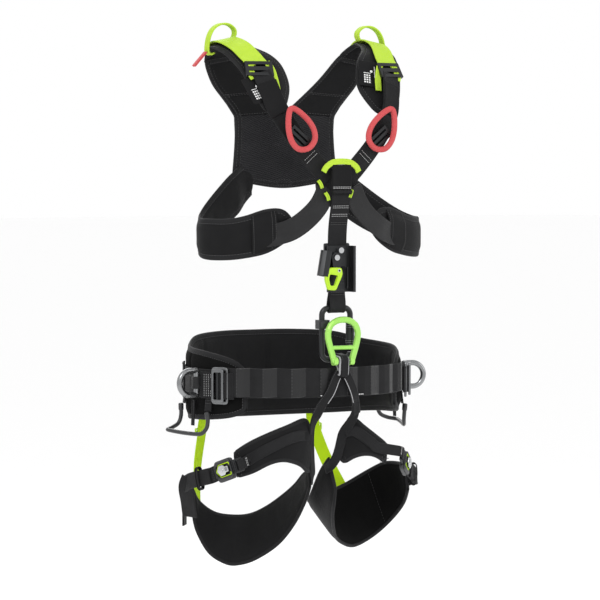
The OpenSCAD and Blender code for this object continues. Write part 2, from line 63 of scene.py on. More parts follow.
# A pad reaches its full thickness over PAD_RISE. A cross seam takes SEAM_DEPTH of it, over SEAM_WIDTH
PAD_RISE = 12.0
SEAM_DEPTH, SEAM_WIDTH = 0.45, 2.6
# Wrinkles per millimetre, and how far from a pad's border they grow to their full height
WRINKLE_SCALE, WRINKLE_RISE = 0.022, 20.0
# How far from its border a pad is held while it is inflated
PIN_REACH = 9.0
# Scale of every fabric's sheen, and the gap between the harness and the floor in metres
SHEEN = 0.15
FLOOR_DROP = 0.42
# Widths of the webbing
WIDTH = {"belt": 45, "sleeve": 56, "front_band": 44, "buckle": 42, "shoulder": 36, "top_loop": 15, "front": 31,
         "underarm": 34, "sternum": 33, "leg": 25, "riser": 15, "front_run": 17, "elastic": 20}
# Sewn rows: length of a thread, gap between threads, half width of a thread
ROW = {"fine": (2.2, 1.0, 0.4), "tack": (2.2, 0.5, 0.5), "buckle": (2.4, 1.0, 0.5), "keeper": (2.0, 0.8, 0.5),
       "leg": (2.2, 0.9, 0.45), "elastic": (2.2, 0.8, 0.5), "front": (3.2, 0.2, 0.4),
       "pleat": (3.0, 1.6, 0.45), "bar": (2.6, 0.5, 0.7), "sleeve": (2.4, 1.0, 0.45)}
# The clamp's rope channel: foot of its axis, lean in degrees, outer radius
CHANNEL_AT = (-30, -155, 160)
CHANNEL_LEAN = 10.0
CHANNEL_R = 11.35


# ---- Camera: made first ----

def make_camera():
    """The photographed view: a long lens, slightly above and to the wearer's right."""
    azimuth, elevation, distance = math.radians(-28.0), math.radians(2.8), 5.0
    target = Vector((0.009, -0.004, 0.119))
    back = Vector((math.sin(azimuth) * math.cos(elevation), -math.cos(azimuth) * math.cos(elevation),
                   math.sin(elevation)))
    camera = bpy.data.cameras.new("camera")
    camera.lens = 187.5
    camera.sensor_width = 36.0
    camera.clip_end = 50.0
    holder = bpy.data.objects.new("camera", camera)
    holder.location = target + back * distance
    holder.rotation_euler = (-back).to_track_quat("-Z", "Y").to_euler()
    bpy.context.scene.collection.objects.link(holder)
    bpy.context.scene.camera = holder


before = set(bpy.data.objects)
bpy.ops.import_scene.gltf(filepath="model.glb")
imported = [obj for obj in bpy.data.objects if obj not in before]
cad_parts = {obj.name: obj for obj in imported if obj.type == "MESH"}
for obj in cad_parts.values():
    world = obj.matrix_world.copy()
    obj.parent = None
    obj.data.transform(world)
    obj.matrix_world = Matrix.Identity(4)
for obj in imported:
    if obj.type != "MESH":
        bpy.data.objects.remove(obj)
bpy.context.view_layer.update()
make_camera()


# ---- Curves and meshes ----

def unit(v):
    v = np.asarray(v, float)
    return v / np.maximum(np.linalg.norm(v, axis=-1, keepdims=True), 1e-9)


def curve(points, count, closed=False):
    """count points, evenly spaced along the smooth curve through the control points."""
    p = np.asarray(points, float)
    if closed:
        p = np.vstack([p[-1], p, p[0], p[1]])
    else:
        p = np.vstack([2 * p[0] - p[1], p, 2 * p[-1] - p[-2]])
    t = np.linspace(0, 1, 25)[:-1, None]
    fine = []
    for a, b, c, d in zip(p, p[1:], p[2:], p[3:]):
        fine.append(0.5 * (2 * b + (c - a) * t + (2 * a - 5 * b + 4 * c - d) * t ** 2
                           + (3 * b - a - 3 * c + d) * t ** 3))
    fine = np.vstack(fine + [p[-2][None]])
    reach = reach_of(fine)
    wanted = np.linspace(0, reach[-1], count + 1 if closed else count)
    out = np.stack([np.interp(wanted, reach, fine[:, k]) for k in range(fine.shape[1])], 1)
    return out[:-1] if closed else out


def reach_of(points):
    """Distance along a row of points, from 0 at the first."""
    return np.concatenate([[0], np.cumsum(np.linalg.norm(np.diff(points[:, :3], axis=0), axis=1))])


def slope(points, closed=False):
    """Unit direction along a row of points."""
    if closed:
        return unit(np.roll(points, -1, 0) - np.roll(points, 1, 0))
    return unit(np.gradient(points, axis=0))


def oval(shape, t, z, out=0.0):
    """Point on an upright oval; t in degrees runs from the front centre to the wearer's left."""
    t = np.radians(t)
    return np.stack([(shape[0] + out) * np.sin(t), shape[2] - (shape[1] + out) * np.cos(t),
                     np.broadcast_to(z, np.shape(t))], -1)


def mirrored(points, side):
    """The points on the wearer's right, or their mirror image on the left."""
    return np.asarray(points, float) * np.array([SIDES[side], 1.0, 1.0])


def make_mesh(name, points, faces, material, uv=None):
    """A mesh object from points in millimetres; uv holds one pair of lengths, in millimetres, per point."""
    mesh = bpy.data.meshes.new(name)
    mesh.from_pydata((np.asarray(points) * MM).tolist(), [], faces)
    if uv is not None:
        layer = mesh.uv_layers.new(name="lengths")
        corners = np.empty(len(mesh.loops), dtype=np.int32)
        mesh.loops.foreach_get("vertex_index", corners)
        layer.data.foreach_set("uv", (np.asarray(uv)[corners] * MM * 100).ravel())
    mesh.polygons.foreach_set("use_smooth", [True] * len(mesh.polygons))
    mesh.materials.append(material)
    mesh.validate()
    mesh.update()
    piece = bpy.data.objects.new(name, mesh)
    bpy.context.scene.collection.objects.link(piece)
    return piece


def outward(piece):
    """Makes every face look outward."""
    shape = bmesh.new()
    shape.from_mesh(piece.data)
    bmesh.ops.recalc_face_normals(shape, faces=shape.faces)
    shape.to_mesh(piece.data)
    shape.free()
    return piece


def skin(rings, closed_along=False):
    """Points and faces of a tube of rings, each a closed row of corners, with flat ends."""
    rings = np.asarray(rings)
    n, m = rings.shape[:2]
    faces = []
    for i in range(n if closed_along else n - 1):
        j = (i + 1) % n
        for k in range(m):
            q = (k + 1) % m
            faces.append((i * m + k, i * m + q, j * m + q, j * m + k))
    if not closed_along:
        faces.append(tuple(range(m - 1, -1, -1)))
        faces.append(tuple((n - 1) * m + k for k in range(m)))
    return rings.reshape(-1, 3), faces


def loft(name, rings, material, closed=False, uv=None):
    points, faces = skin(rings, closed)
    return outward(make_mesh(name, points, faces, material, uv))


def lengths(rings, half):
    """Lengths along and across a lofted strap, one pair per point."""
    n, m = rings.shape[:2]
    return np.stack([np.repeat(reach_of(rings.mean(1)), m), np.tile(half, n)], 1)


def finish(piece, body, slot, *replaced):
    """Gives a piece its body and hides the CAD nodes it stands for. The slot is not used."""
    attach(piece, body)
    if replaced:
        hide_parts(*replaced)
    return piece


def join(name, pieces):
    """One object from several, which keep their own materials."""
    mesh_list = [p for p in pieces if p is not None]
    context = {"active_object": mesh_list[0], "selected_objects": mesh_list,
               "selected_editable_objects": mesh_list, "object": mesh_list[0]}
    with bpy.context.temp_override(**context):
        bpy.ops.object.join()
    mesh_list[0].name = name
    mesh_list[0].data.name = name
    return mesh_list[0]


# ---- Webbing ----

def flat_section(width, thick, lip=0.35):
    """Cross-section of a woven strap: across and out, with a bead along each edge."""
    w, h = width / 2, thick / 2
    half = [(-w, 0.0), (-w + 0.5, h * 0.85 + lip * 0.5), (-w + 1.6, h + lip), (-w + 3.2, h),
            (-w * 0.3, h * 0.98), (w * 0.3, h * 0.98), (w - 3.2, h), (w - 1.6, h + lip),
            (w - 0.5, h * 0.85 + lip * 0.5), (w, 0.0)]
    return np.array(half + [(x, -y) for x, y in reversed(half[1:-1])])


def frames(points, faces):
    """Across and outward directions of a strap whose broad side looks along faces."""
    go = slope(points)
    across = unit(np.cross(faces, go))
    return across, np.cross(go, across)


def control(rows):
    """Control rows of (point, face direction) as rows of six numbers."""
    return np.array([list(p) + list(f) for p, f in rows], float)


def strap(name, rows, width, material, thick=WEB_T, step=3.0):
    """Webbing through control rows of (point, face direction)."""
    both = control(rows)
    both = curve(both, max(4, int(reach_of(both)[-1] / step)))
    points, faces = both[:, :3], unit(both[:, 3:])
    across, out = frames(points, faces)
    shape = flat_section(width, thick)
    rings = points[:, None] + across[:, None] * shape[None, :, :1] + out[:, None] * shape[None, :, 1:]
    return loft(name, rings, material, uv=lengths(rings, shape[:, 0]))


def tube(name, points, diameter, material, flat, sides=20, closed=False, squash=1.0):
    """A round bar along points that lie near the plane with normal flat."""
    points = np.asarray(points, float)
    go = slope(points, closed)
    u = unit(np.cross(flat, go))
    v = np.cross(go, u)
    a = np.linspace(0, 2 * math.pi, sides, endpoint=False)
    r = np.broadcast_to(np.asarray(diameter, float) / 2, (len(points),))[:, None, None]
    rings = points[:, None] + r * (u[:, None] * np.cos(a)[None, :, None]
                                   + squash * v[:, None] * np.sin(a)[None, :, None])
    return loft(name, rings, material, closed, uv=lengths(rings, a * 5))


def stitches(name, points, outs, material, length=3.0, gap=1.6, size=0.55):
    """A sewn row: short threads that lie on a surface, along points, with outs its outward direction."""
    points = np.asarray(points, float)
    reach = reach_of(points)
    count = int(reach[-1] / (length + gap))
    if count < 1:
        return None
    starts = (np.arange(count) + 0.5) * reach[-1] / count - length / 2
    all_points, all_faces = [], []
    for s in starts:
        t = s + np.array([0.0, 0.25, 0.75, 1.0]) * length
        at = np.stack([np.interp(t, reach, points[:, k]) for k in range(3)], 1)
        out = unit(np.stack([np.interp(t, reach, outs[:, k]) for k in range(3)], 1))
        go = unit(at[-1] - at[0])
        across = unit(np.cross(out, go))
        lift = np.array([-0.3, 0.45, 0.45, -0.3])[:, None] * size
        wide = np.array([0.45, 1.0, 1.0, 0.45])[:, None] * size
        a = np.linspace(0, 2 * math.pi, 6, endpoint=False)
        ring = across[:, None] * np.cos(a)[None, :, None] + 0.8 * out[:, None] * np.sin(a)[None, :, None]
        rings = (at + out * lift)[:, None] + wide[:, None] * ring
        p, f = skin(rings)
        base = len(all_points) * len(p)
        all_points.append(p)
        all_faces += [tuple(base + k for k in face) for face in f]
    return make_mesh(name, np.vstack(all_points), all_faces, material)

# ---- Pads ----

class Pad:
    """A padded panel between two edges. w runs from edge a (0) to edge b (1), s along the panel."""

    def __init__(self, edge_a, edge_b, thick, along, across, seams=(), edge=1.7, rim=8.0, bend=None,
                 open_end=False):
        self.a = curve(edge_a, along)
        self.b = curve(edge_b, along)
        self.w = np.linspace(0, 1, across)
        self.surface = self.a[:, None] * (1 - self.w[None, :, None]) + self.b[:, None] * self.w[None, :, None]
        if bend:
            self.surface = self.surface + bend(np.linspace(0, 1, along)[:, None, None], self.w[None, :, None])
        go = unit(np.gradient(self.surface, axis=0))
        cross = unit(np.gradient(self.surface, axis=1))
        self.out = unit(np.cross(go, cross))
        self.thick, self.edge, self.rim, self.open_end = thick, edge, rim, open_end
        width = np.linalg.norm(self.b - self.a, axis=1)
        length = reach_of((self.a + self.b) / 2)
        self.u = np.broadcast_to(length[:, None], self.surface.shape[:2])
        self.v = (self.w[None] - 0.5) * width[:, None]
        self.border = np.minimum(np.minimum(self.w[None], 1 - self.w[None]) * width[:, None],
                                 self.u if open_end else np.minimum(self.u, length[-1] - self.u))
        self.length = length[-1]
        self.half = self.profile(seams)

    def profile(self, seams):
        """Half thickness: thin at the bound edge, full inside it, pinched along each seam."""
        rise = np.clip((self.border - self.rim * 0.7) / PAD_RISE, 0, 1)
        half = self.edge + (self.thick / 2 - self.edge) * (1 - (1 - rise) ** 2)
        for place in seams:
            half = half * (1 - SEAM_DEPTH * np.exp(-((self.u - place) / SEAM_WIDTH) ** 2))
        return half

    def build(self, name, material, puff=0.0, wrinkle=0.35, seed=0.0):
        n, m = self.surface.shape[:2]
        bumps = np.array([[noise.fractal(Vector(p * WRINKLE_SCALE + seed), 0.8, 2.1, 3) for p in row]
                          for row in self.surface])
        inner = np.clip(self.border / WRINKLE_RISE, 0, 1)
        lift = (self.half + bumps * wrinkle * inner * 2)[..., None] * self.out
        sink = (self.half - bumps * wrinkle * inner)[..., None] * self.out
        points = np.concatenate([(self.surface + lift).reshape(-1, 3), (self.surface - sink).reshape(-1, 3)])
        size = n * m
        faces = []
        for i in range(n - 1):
            for k in range(m - 1):
                p = i * m + k
                faces.append((p, p + m, p + m + 1, p + 1))
                faces.append((size + p, size + p + 1, size + p + m + 1, size + p + m))
        ring = ([k for k in range(m)] + [i * m + m - 1 for i in range(1, n)]
                + [(n - 1) * m + k for k in range(m - 2, -1, -1)] + [i * m for i in range(n - 2, 0, -1)])
        for p, q in zip(ring, ring[1:] + ring[:1]):
            faces.append((p, q, size + q, size + p))
        uv = np.stack([self.u, self.v], -1).reshape(-1, 2)
        piece = outward(make_mesh(name, points, faces, material, np.vstack([uv, uv])))
        if puff:
            pins = np.exp(-(self.border / PIN_REACH) ** 2).ravel()
            swell(piece, np.concatenate([pins, pins]), puff)
        return piece

    def outline(self, count=None):
        """Points along the border, outward normals and directions into the panel. The row is a closed loop,
        or leaves out the panel's last end if that end is open."""
        s, out = self.surface, self.out
        if self.open_end:
            parts = [(slice(None, None, -1), 0), (0, slice(1, None)), (slice(1, None), -1)]
        else:
            parts = [(0, slice(None, -1)), (slice(None, -1), -1), (-1, slice(None, 0, -1)),
                     (slice(None, 0, -1), 0)]
        both = np.hstack([np.concatenate([grid[p] for p in parts]) for grid in (s, out)])
        closed = not self.open_end
        both = curve_through(both, count or int(reach_of(both)[-1] / 4), closed)
        ring, out = smooth_loop(both[:, :3], 2, closed), unit(both[:, 3:])
        inward = unit(np.cross(out, slope(ring, closed)))
        middle = s.reshape(-1, 3).mean(0)
        if np.sum(inward * (middle - ring)) < 0:
            inward = -inward
        return ring, out, inward

    def at(self, s, w):
        """Surface point and outward normal at s in millimetres along and w from 0 to 1."""
        i = np.interp(s, self.u[:, 0], np.arange(len(self.u)))
        k = np.interp(w, self.w, np.arange(len(self.w)))
        i, k = np.broadcast_arrays(i, k)
        i0 = np.minimum(i.astype(int), self.surface.shape[0] - 2)
        k0 = np.minimum(k.astype(int), len(self.w) - 2)
        fi, fw = (i - i0)[..., None], (k - k0)[..., None]

        def mix(g):
            return ((1 - fi) * (1 - fw) * g[i0, k0] + fi * (1 - fw) * g[i0 + 1, k0]
                    + (1 - fi) * fw * g[i0, k0 + 1] + fi * fw * g[i0 + 1, k0 + 1])
        return mix(self.surface), unit(mix(self.out)), mix(self.half[..., None])[..., 0]


def curve_through(loop, count, closed=True):
    """count rows spaced evenly along rows, or round a closed loop of rows."""
    if closed:
        loop = np.vstack([loop, loop[:1]])
    reach = reach_of(loop)
    wanted = np.linspace(0, reach[-1], count + 1 if closed else count)
    if closed:
        wanted = wanted[:-1]
    return np.stack([np.interp(wanted, reach, loop[:, k]) for k in range(loop.shape[1])], 1)


def smooth_loop(points, rounds, closed=True):
    for _ in range(rounds):
        soft = (np.roll(points, 1, 0) + 2 * points + np.roll(points, -1, 0)) / 4
        if not closed:
            soft[[0, -1]] = points[[0, -1]]
        points = soft
    return points


def swell(piece, pins, pressure, frames_run=20, cap=2.5):
    """Inflates a pad a little with Blender's cloth, held along its bound edge, and keeps the result."""
    group = piece.vertex_groups.new(name="pins")
    for i, weight in enumerate(pins):
        group.add([i], float(weight), "REPLACE")
    before = np.empty(len(piece.data.vertices) * 3, dtype=np.float32)
    piece.data.vertices.foreach_get("co", before)
    cloth = piece.modifiers.new("puff", "CLOTH")
    settings = cloth.settings
    settings.quality = 6
    settings.mass = 0.2
    settings.vertex_group_mass = "pins"
    settings.use_pressure = True
    settings.uniform_pressure_force = pressure
    settings.tension_stiffness = settings.compression_stiffness = 25
    settings.bending_stiffness = 2.0
    settings.effector_weights.gravity = 0.0
    cloth.point_cache.frame_start, cloth.point_cache.frame_end = 1, frames_run
    scene = bpy.context.scene
    for f in range(1, frames_run + 1):
        scene.frame_set(f)
    graph = bpy.context.evaluated_depsgraph_get()
    result = piece.evaluated_get(graph).to_mesh()
    after = np.empty(len(result.vertices) * 3, dtype=np.float32)
    result.vertices.foreach_get("co", after)
    piece.modifiers.clear()
    scene.frame_set(1)
    if len(after) != len(before) or not np.isfinite(after).all():
        return
    move = (after - before).reshape(-1, 3) * 1000
    size = np.linalg.norm(move, axis=1, keepdims=True)
    move *= np.minimum(1, cap / np.maximum(size, 1e-6))
    piece.data.vertices.foreach_set("co", (before.reshape(-1, 3) + move * MM).ravel().astype(np.float32))
    piece.data.update()
    piece.vertex_groups.clear()


class Loop:
    """A closed outline that lies near one plane, used to bind a panel made of several pads."""

    def __init__(self, ring, out, edge):
        self.ring, self.edge = np.asarray(ring, float), edge
        self.out = unit(np.broadcast_to(out, self.ring.shape))
        area = np.cross(self.ring, np.roll(self.ring, -1, 0)).sum(0) @ self.out[0]
        self.turn = 1.0 if area > 0 else -1.0
        self.open_end = False

    def outline(self, count=None):
        reach = np.linalg.norm(np.roll(self.ring, -1, 0) - self.ring, axis=1).sum()
        ring = smooth_loop(curve_through(self.ring, count or int(reach / 3)), 3)
        out = np.broadcast_to(self.out[0], ring.shape)
        return ring, out, unit(np.cross(out, slope(ring, True))) * self.turn


def binding(name, pad, material, width=8.0, proud=0.7, bulge=1.6):
    """The tape folded round a pad's border, with a rounded edge."""
    ring, out, inward = pad.outline()
    e = pad.edge
    shape = np.array([(width, e + proud * 0.2), (width - 0.6, e + proud), (width * 0.5, e + proud + 0.15),
                      (1.0, e + proud), (-bulge * 0.7, e * 0.6), (-bulge, 0), (-bulge * 0.7, -e * 0.6),
                      (1.0, -e - proud), (width * 0.5, -e - proud - 0.15), (width - 0.6, -e - proud),
                      (width, -e - proud * 0.2)])
    rings = (ring[:, None] + inward[:, None] * shape[None, :, :1] + out[:, None] * shape[None, :, 1:])
    uv = np.stack([np.repeat(reach_of(ring), len(shape)), np.tile(shape[:, 0], len(ring))], 1)
    return loft(name, rings, material, closed=not pad.open_end, uv=uv)


def border_stitches(name, pad, material, inset):
    """A sewn row along the binding, on both faces of the pad."""
    ring, out, inward = pad.outline(count=600)
    made = []
    for s in (1, -1):
        line = ring + inward * inset + out * s * (pad.edge + 0.75)
        made.append(stitches(name + "_row", line, out * s, material))
    return join(name, made)


def bound_pad(name, body, pad, foam, width=8.0, inset=6.2):
    """A pad's foam with its tape and its sewn rows, as one piece on its body."""
    tape = binding(name + "_tape", pad, M["binding"], width)
    rows = border_stitches(name + "_rows", pad, M["dark_thread"], inset)
    return finish(join(name + "_cloth", [foam, tape, rows]), body, "pad_cloth", name)

# ---- Materials ----

def new_material(name, inputs):
    """A node material, its tree and its shader, with the shader's plain inputs set."""
    material = bpy.data.materials.new(name)
    material.use_nodes = True
    tree = material.node_tree
    shader = tree.nodes["Principled BSDF"]
    for key, value in inputs.items():
        shader.inputs[key].default_value = value
    return material, tree, shader


def node(tree, kind, inputs=None, **settings):
    made = tree.nodes.new(kind)
    for key, value in settings.items():
        setattr(made, key, value)
    for key, value in (inputs or {}).items():
        if isinstance(value, bpy.types.NodeSocket):
            tree.links.new(value, made.inputs[key])
        else:
            made.inputs[key].default_value = value
    return made


def math_node(tree, operation, a, b=0.0):
    return node(tree, "ShaderNodeMath", {0: a, 1: b}, operation=operation).outputs[0]


def times(tree, a, b):
    return math_node(tree, "MULTIPLY", a, b)


def plus(tree, a, b):
    return math_node(tree, "ADD", a, b)


def rest(tree, a):
    """1 - a."""
    return math_node(tree, "SUBTRACT", 1.0, a)


def fabric(name, roughness, sheen, shine, sheen_roughness):
    return new_material(name, {"Roughness": roughness, "Sheen Weight": sheen * SHEEN,
                               "Specular IOR Level": shine, "Sheen Roughness": sheen_roughness})


def colour_mix(tree, factor, dark, light):
    made = node(tree, "ShaderNodeMix", {"Factor": factor}, data_type="RGBA")
    for socket, value in ((made.inputs[6], dark), (made.inputs[7], light)):
        if isinstance(value, bpy.types.NodeSocket):
            tree.links.new(value, socket)
        else:
            socket.default_value = (*value, 1.0)
    return made.outputs[2]


def patches(tree, scale, detail=3.0):
    """Slow colour variation from the object's own coordinates."""
    place = node(tree, "ShaderNodeTexCoord").outputs["Object"]
    inputs = {"Vector": place, "Scale": scale, "Detail": detail}
    return node(tree, "ShaderNodeTexNoise", inputs).outputs["Fac"]


def lengths_uv(tree):
    """Lengths along and across the piece, in centimetres."""
    uv = node(tree, "ShaderNodeUVMap", uv_map="lengths").outputs[0]
    return node(tree, "ShaderNodeSeparateXYZ", {0: uv}).outputs


def half_wave(tree, value, period):
    turned = times(tree, value, 2 * math.pi * 10 / period)
    ripple = math_node(tree, "SINE", turned)
    return plus(tree, times(tree, ripple, 0.5), 0.5)


def bump(tree, shader, height, strength, distance):
    made = node(tree, "ShaderNodeBump", {"Height": height, "Strength": strength, "Distance": distance})
    tree.links.new(made.outputs[0], shader.inputs["Normal"])


def woven(name, dark, light, rib=1.6, cross=1.1, roughness=0.6, sheen=0.25, strength=0.5, chevron=True,
          shine=0.12):
    """Webbing: lengthwise ribs crossed by picks, in a chevron, with a little dust and wear."""
    material, tree, shader = fabric(name, roughness, sheen, shine, 0.4)
    along, across, _ = lengths_uv(tree)
    slant = along
    if chevron:
        slant = plus(tree, along, times(tree, math_node(tree, "PINGPONG", across, 0.5), 0.9))
    ribs = half_wave(tree, across, rib)
    picks = half_wave(tree, slant, cross)
    weave = math_node(tree, "MAXIMUM", times(tree, ribs, picks),
                      times(tree, rest(tree, ribs),
                                rest(tree, picks)))
    tone = plus(tree, times(tree, weave, 0.55),
                     times(tree, patches(tree, 45.0), 0.6))
    tree.links.new(colour_mix(tree, tone, dark, light), shader.inputs["Base Color"])
    bump(tree, shader, weave, strength, 0.0004)
    return material


def cloth(name, dark, light, thread=0.9, roughness=0.8, sheen=0.35, strength=0.35, shine=0.07):
    """Plain fabric: a fine square weave with soft creases."""
    material, tree, shader = fabric(name, roughness, sheen, shine, 0.5)
    along, across, _ = lengths_uv(tree)
    weave = times(tree, half_wave(tree, along, thread), half_wave(tree, across, thread))
    soft = patches(tree, 28.0, 5.0)
    tone = plus(tree, times(tree, weave, 0.3), times(tree, soft, 0.75))
    tree.links.new(colour_mix(tree, tone, dark, light), shader.inputs["Base Color"])
    height = plus(tree, times(tree, weave, 0.4), times(tree, soft, 1.2))
    bump(tree, shader, height, strength, 0.0008)
    return material


def spacer_mesh(name, dark, light, hole=3.2):
    """Open three-dimensional mesh: staggered rows of small oval holes."""
    plain = {"Roughness": 0.9, "Sheen Weight": 0.03, "Specular IOR Level": 0.06}
    material, tree, shader = new_material(name, plain)
    along, across, _ = lengths_uv(tree)
    row = math_node(tree, "SINE", times(tree, across, 2 * math.pi * 10 / hole))
    shifted = plus(tree, along, times(tree, across, 0.5))
    column = math_node(tree, "SINE", times(tree, shifted, 2 * math.pi * 10 / (hole * 0.8)))
    pattern = times(tree, row, column)
    holes = math_node(tree, "GREATER_THAN", pattern, 0.35)
    thread = colour_mix(tree, patches(tree, 25.0), dark, light)
    tree.links.new(colour_mix(tree, holes, thread, (0.002, 0.002, 0.002)), shader.inputs["Base Color"])
    bump(tree, shader, rest(tree, pattern), 0.5, 0.0008)
    return material


def metal(name, base, worn, roughness=0.3, metallic=1.0, grain=400.0, strength=0.08):
    """Satin metal with fine grain, soft dark patches and brighter worn spots."""
    material, tree, shader = new_material(name, {"Metallic": metallic})
    fine = patches(tree, grain, 2.0)
    slow = patches(tree, 30.0, 4.0)
    tree.links.new(colour_mix(tree, slow, base, worn), shader.inputs["Base Color"])
    rough = plus(tree, times(tree, fine, 0.16), roughness - 0.08)
    tree.links.new(rough, shader.inputs["Roughness"])
    bump(tree, shader, fine, strength, 0.0003)
    return material


def plastic(name, base, light, roughness=0.45, strength=0.15):
    """Moulded plastic with a fine spark-eroded grain."""
    material, tree, shader = new_material(name, {"Roughness": roughness})
    grain = patches(tree, 900.0, 2.0)
    slow = patches(tree, 20.0)
    tree.links.new(colour_mix(tree, slow, base, light), shader.inputs["Base Color"])
    bump(tree, shader, grain, strength, 0.0002)
    return material


M = {
    "lining": cloth("pad_lining", (0.003, 0.003, 0.003), (0.007, 0.007, 0.007), thread=1.3, sheen=0.04,
                    shine=0.04),
    "smooth": cloth("smooth_cloth", (0.005, 0.005, 0.0054), (0.012, 0.012, 0.0126), thread=0.6, sheen=0.15,
                    roughness=0.6, shine=0.09),
    "satin": cloth("satin_elastic", (0.007, 0.007, 0.0075), (0.014, 0.014, 0.015), thread=0.5, roughness=0.3,
                   shine=0.3),
    "mesh": spacer_mesh("mesh_cloth", (0.022, 0.022, 0.024), (0.038, 0.038, 0.040)),
    "binding": woven("binding_tape", (0.008, 0.008, 0.0085), (0.018, 0.018, 0.019), rib=1.0, cross=0.9,
                     chevron=False, strength=0.35),
    "web": woven("black_webbing", (0.006, 0.006, 0.0065), (0.018, 0.018, 0.019)),
    # The black webbing again, glossier and a little lighter: the lighter colour is painted sheen.
    "glossy_web_painted_sheen": woven("glossy_webbing_painted_sheen", (0.007, 0.007, 0.0075), (0.020, 0.020, 0.021), sheen=0.2,
                       roughness=0.42, shine=0.2),
    "neon": woven("bright_webbing", (0.36, 0.55, 0.03), (0.49, 0.69, 0.06), rib=1.2, sheen=0.1),
    "lime": woven("bright_elastic", (0.36, 0.60, 0.004), (0.50, 0.74, 0.012), rib=1.4, chevron=False,
                  sheen=0.1),
    "coral": woven("coral_textile", (0.44, 0.05, 0.055), (0.60, 0.10, 0.105), rib=1.2, chevron=False,
                   sheen=0.15),
    "grey": woven("grey_liner", (0.30, 0.30, 0.31), (0.46, 0.46, 0.47), rib=1.0, chevron=False),
    "thread": plastic("grey_thread", (0.26, 0.26, 0.26), (0.42, 0.42, 0.42), 0.7),
    "dark_thread": plastic("dark_thread", (0.030, 0.030, 0.031), (0.060, 0.060, 0.062), 0.7),
    "print": plastic("white_print", (0.70, 0.70, 0.70), (0.85, 0.85, 0.85), 0.6),
    "mint": metal("green_alloy", (0.28, 0.62, 0.09), (0.38, 0.72, 0.15), 0.30, 0.35),
    "alloy": metal("grey_alloy", (0.17, 0.175, 0.18), (0.34, 0.345, 0.35), 0.28),
    "dim_alloy": metal("dim_alloy", (0.10, 0.103, 0.107), (0.25, 0.254, 0.26), 0.30),
    "steel": metal("steel", (0.42, 0.43, 0.44), (0.66, 0.67, 0.68), 0.24),
    "dull_alloy": metal("dull_alloy", (0.06, 0.062, 0.065), (0.15, 0.152, 0.156), 0.34),
    "dark_alloy": metal("dark_alloy", (0.012, 0.013, 0.014), (0.034, 0.035, 0.037), 0.34, 0.6),
    "dark_plastic": plastic("dark_plastic", (0.011, 0.012, 0.013), (0.026, 0.027, 0.029), 0.38),
    "tube_plastic": plastic("tube_plastic", (0.012, 0.013, 0.014), (0.028, 0.029, 0.031), 0.34),
    "catch": plastic("bright_plastic", (0.36, 0.60, 0.01), (0.46, 0.70, 0.025), 0.3),
}


def stage():
    """Plain pale floor and wall, and soft studio light."""
    white, _, _ = new_material("pale_floor", {"Base Color": (0.98, 0.98, 0.98, 1), "Roughness": 0.9})
    floor_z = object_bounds()[0][2] - FLOOR_DROP
    floor = bpy.data.meshes.new("floor")
    reach = 40.0
    floor.from_pydata([(-reach, -reach, floor_z), (reach, -reach, floor_z), (reach, reach, floor_z),
                       (-reach, reach, floor_z)], [], [(0, 1, 2, 3)])
    floor.materials.append(white)
    piece = bpy.data.objects.new("floor", floor)
    bpy.context.scene.collection.objects.link(piece)
    piece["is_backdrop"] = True
    world = bpy.data.worlds.new("studio")
    bpy.context.scene.world = world
    world.use_nodes = True
    world.node_tree.nodes["Background"].inputs["Color"].default_value = (1.0, 1.0, 1.0, 1.0)
    world.node_tree.nodes["Background"].inputs["Strength"].default_value = 1.0
    bpy.context.scene.view_settings.view_transform = "Standard"
    for name, place, size, power in (("key", (-1.8, -2.2, 2.4), 1.3, 45), ("fill", (2.4, -1.8, 1.0), 1.6, 18),
                                     ("back", (0.6, 2.6, 2.0), 1.8, 30)):
        lamp = bpy.data.lights.new(name, "AREA")
        lamp.size, lamp.energy = size, power
        holder = bpy.data.objects.new(name, lamp)
        holder.location = place
        holder.rotation_euler = (-Vector(place)).to_track_quat("-Z", "Y").to_euler()
        bpy.context.scene.collection.objects.link(holder)

# ---- Rigid plates ----

def rounded(corners, radius, steps=5):
    """The outline with each corner turned into an arc."""
    p = np.asarray(corners, float)
    out = []
    for i in range(len(p)):
        before, here, after = p[i - 1], p[i], p[(i + 1) % len(p)]
        a, b = unit(before - here), unit(after - here)
        r = min(radius, np.linalg.norm(before - here) / 2.05, np.linalg.norm(after - here) / 2.05)
        for t in np.linspace(0, 1, steps + 1):
            out.append((1 - t) ** 2 * (here + a * r) + 2 * t * (1 - t) * here + t ** 2 * (here + b * r))
    return np.array(out)


def rectangle(width, height, radius=3.0, x=0.0, y=0.0):
    w, h = width / 2, height / 2
    return rounded([(x - w, y - h), (x + w, y - h), (x + w, y + h), (x - w, y + h)], radius)


def disc(radius, x=0.0, y=0.0, steps=28):
    a = np.linspace(0, 2 * math.pi, steps, endpoint=False)
    return np.stack([x + radius * np.cos(a), y + radius * np.sin(a)], 1)


class Place:
    """A local frame: a point and the directions of its x, y and z axes. A frame may be left-handed."""

    def __init__(self, at, x, y, z=None):
        self.at = np.asarray(at, float)
        self.x = unit(x)
        across = unit(np.cross(self.x, unit(y)))
        self.y = np.cross(across, self.x)
        self.z = across if z is None or np.dot(across, z) > 0 else -across

    def __call__(self, points):
        p = np.atleast_2d(np.asarray(points, float))
        return self.at + p[:, :1] * self.x + p[:, 1:2] * self.y + p[:, 2:3] * self.z

    def row(self, x, y, z):
        """One control row: a point of the place, facing along its z axis."""
        return self([(x, y, z)])[0], self.z

    def moved(self, x=0.0, y=0.0, z=0.0):
        return Place(self([(x, y, z)])[0], self.x, self.y, self.z)

    def turned(self, degrees):
        """The same place with x and y turned about z."""
        c, s = math.cos(math.radians(degrees)), math.sin(math.radians(degrees))
        return Place(self.at, c * self.x + s * self.y, c * self.y - s * self.x, self.z)


def facing_front(at):
    """x to the wearer's left, y up, z to the front."""
    return Place(at, (1, 0, 0), UP, FRONT)


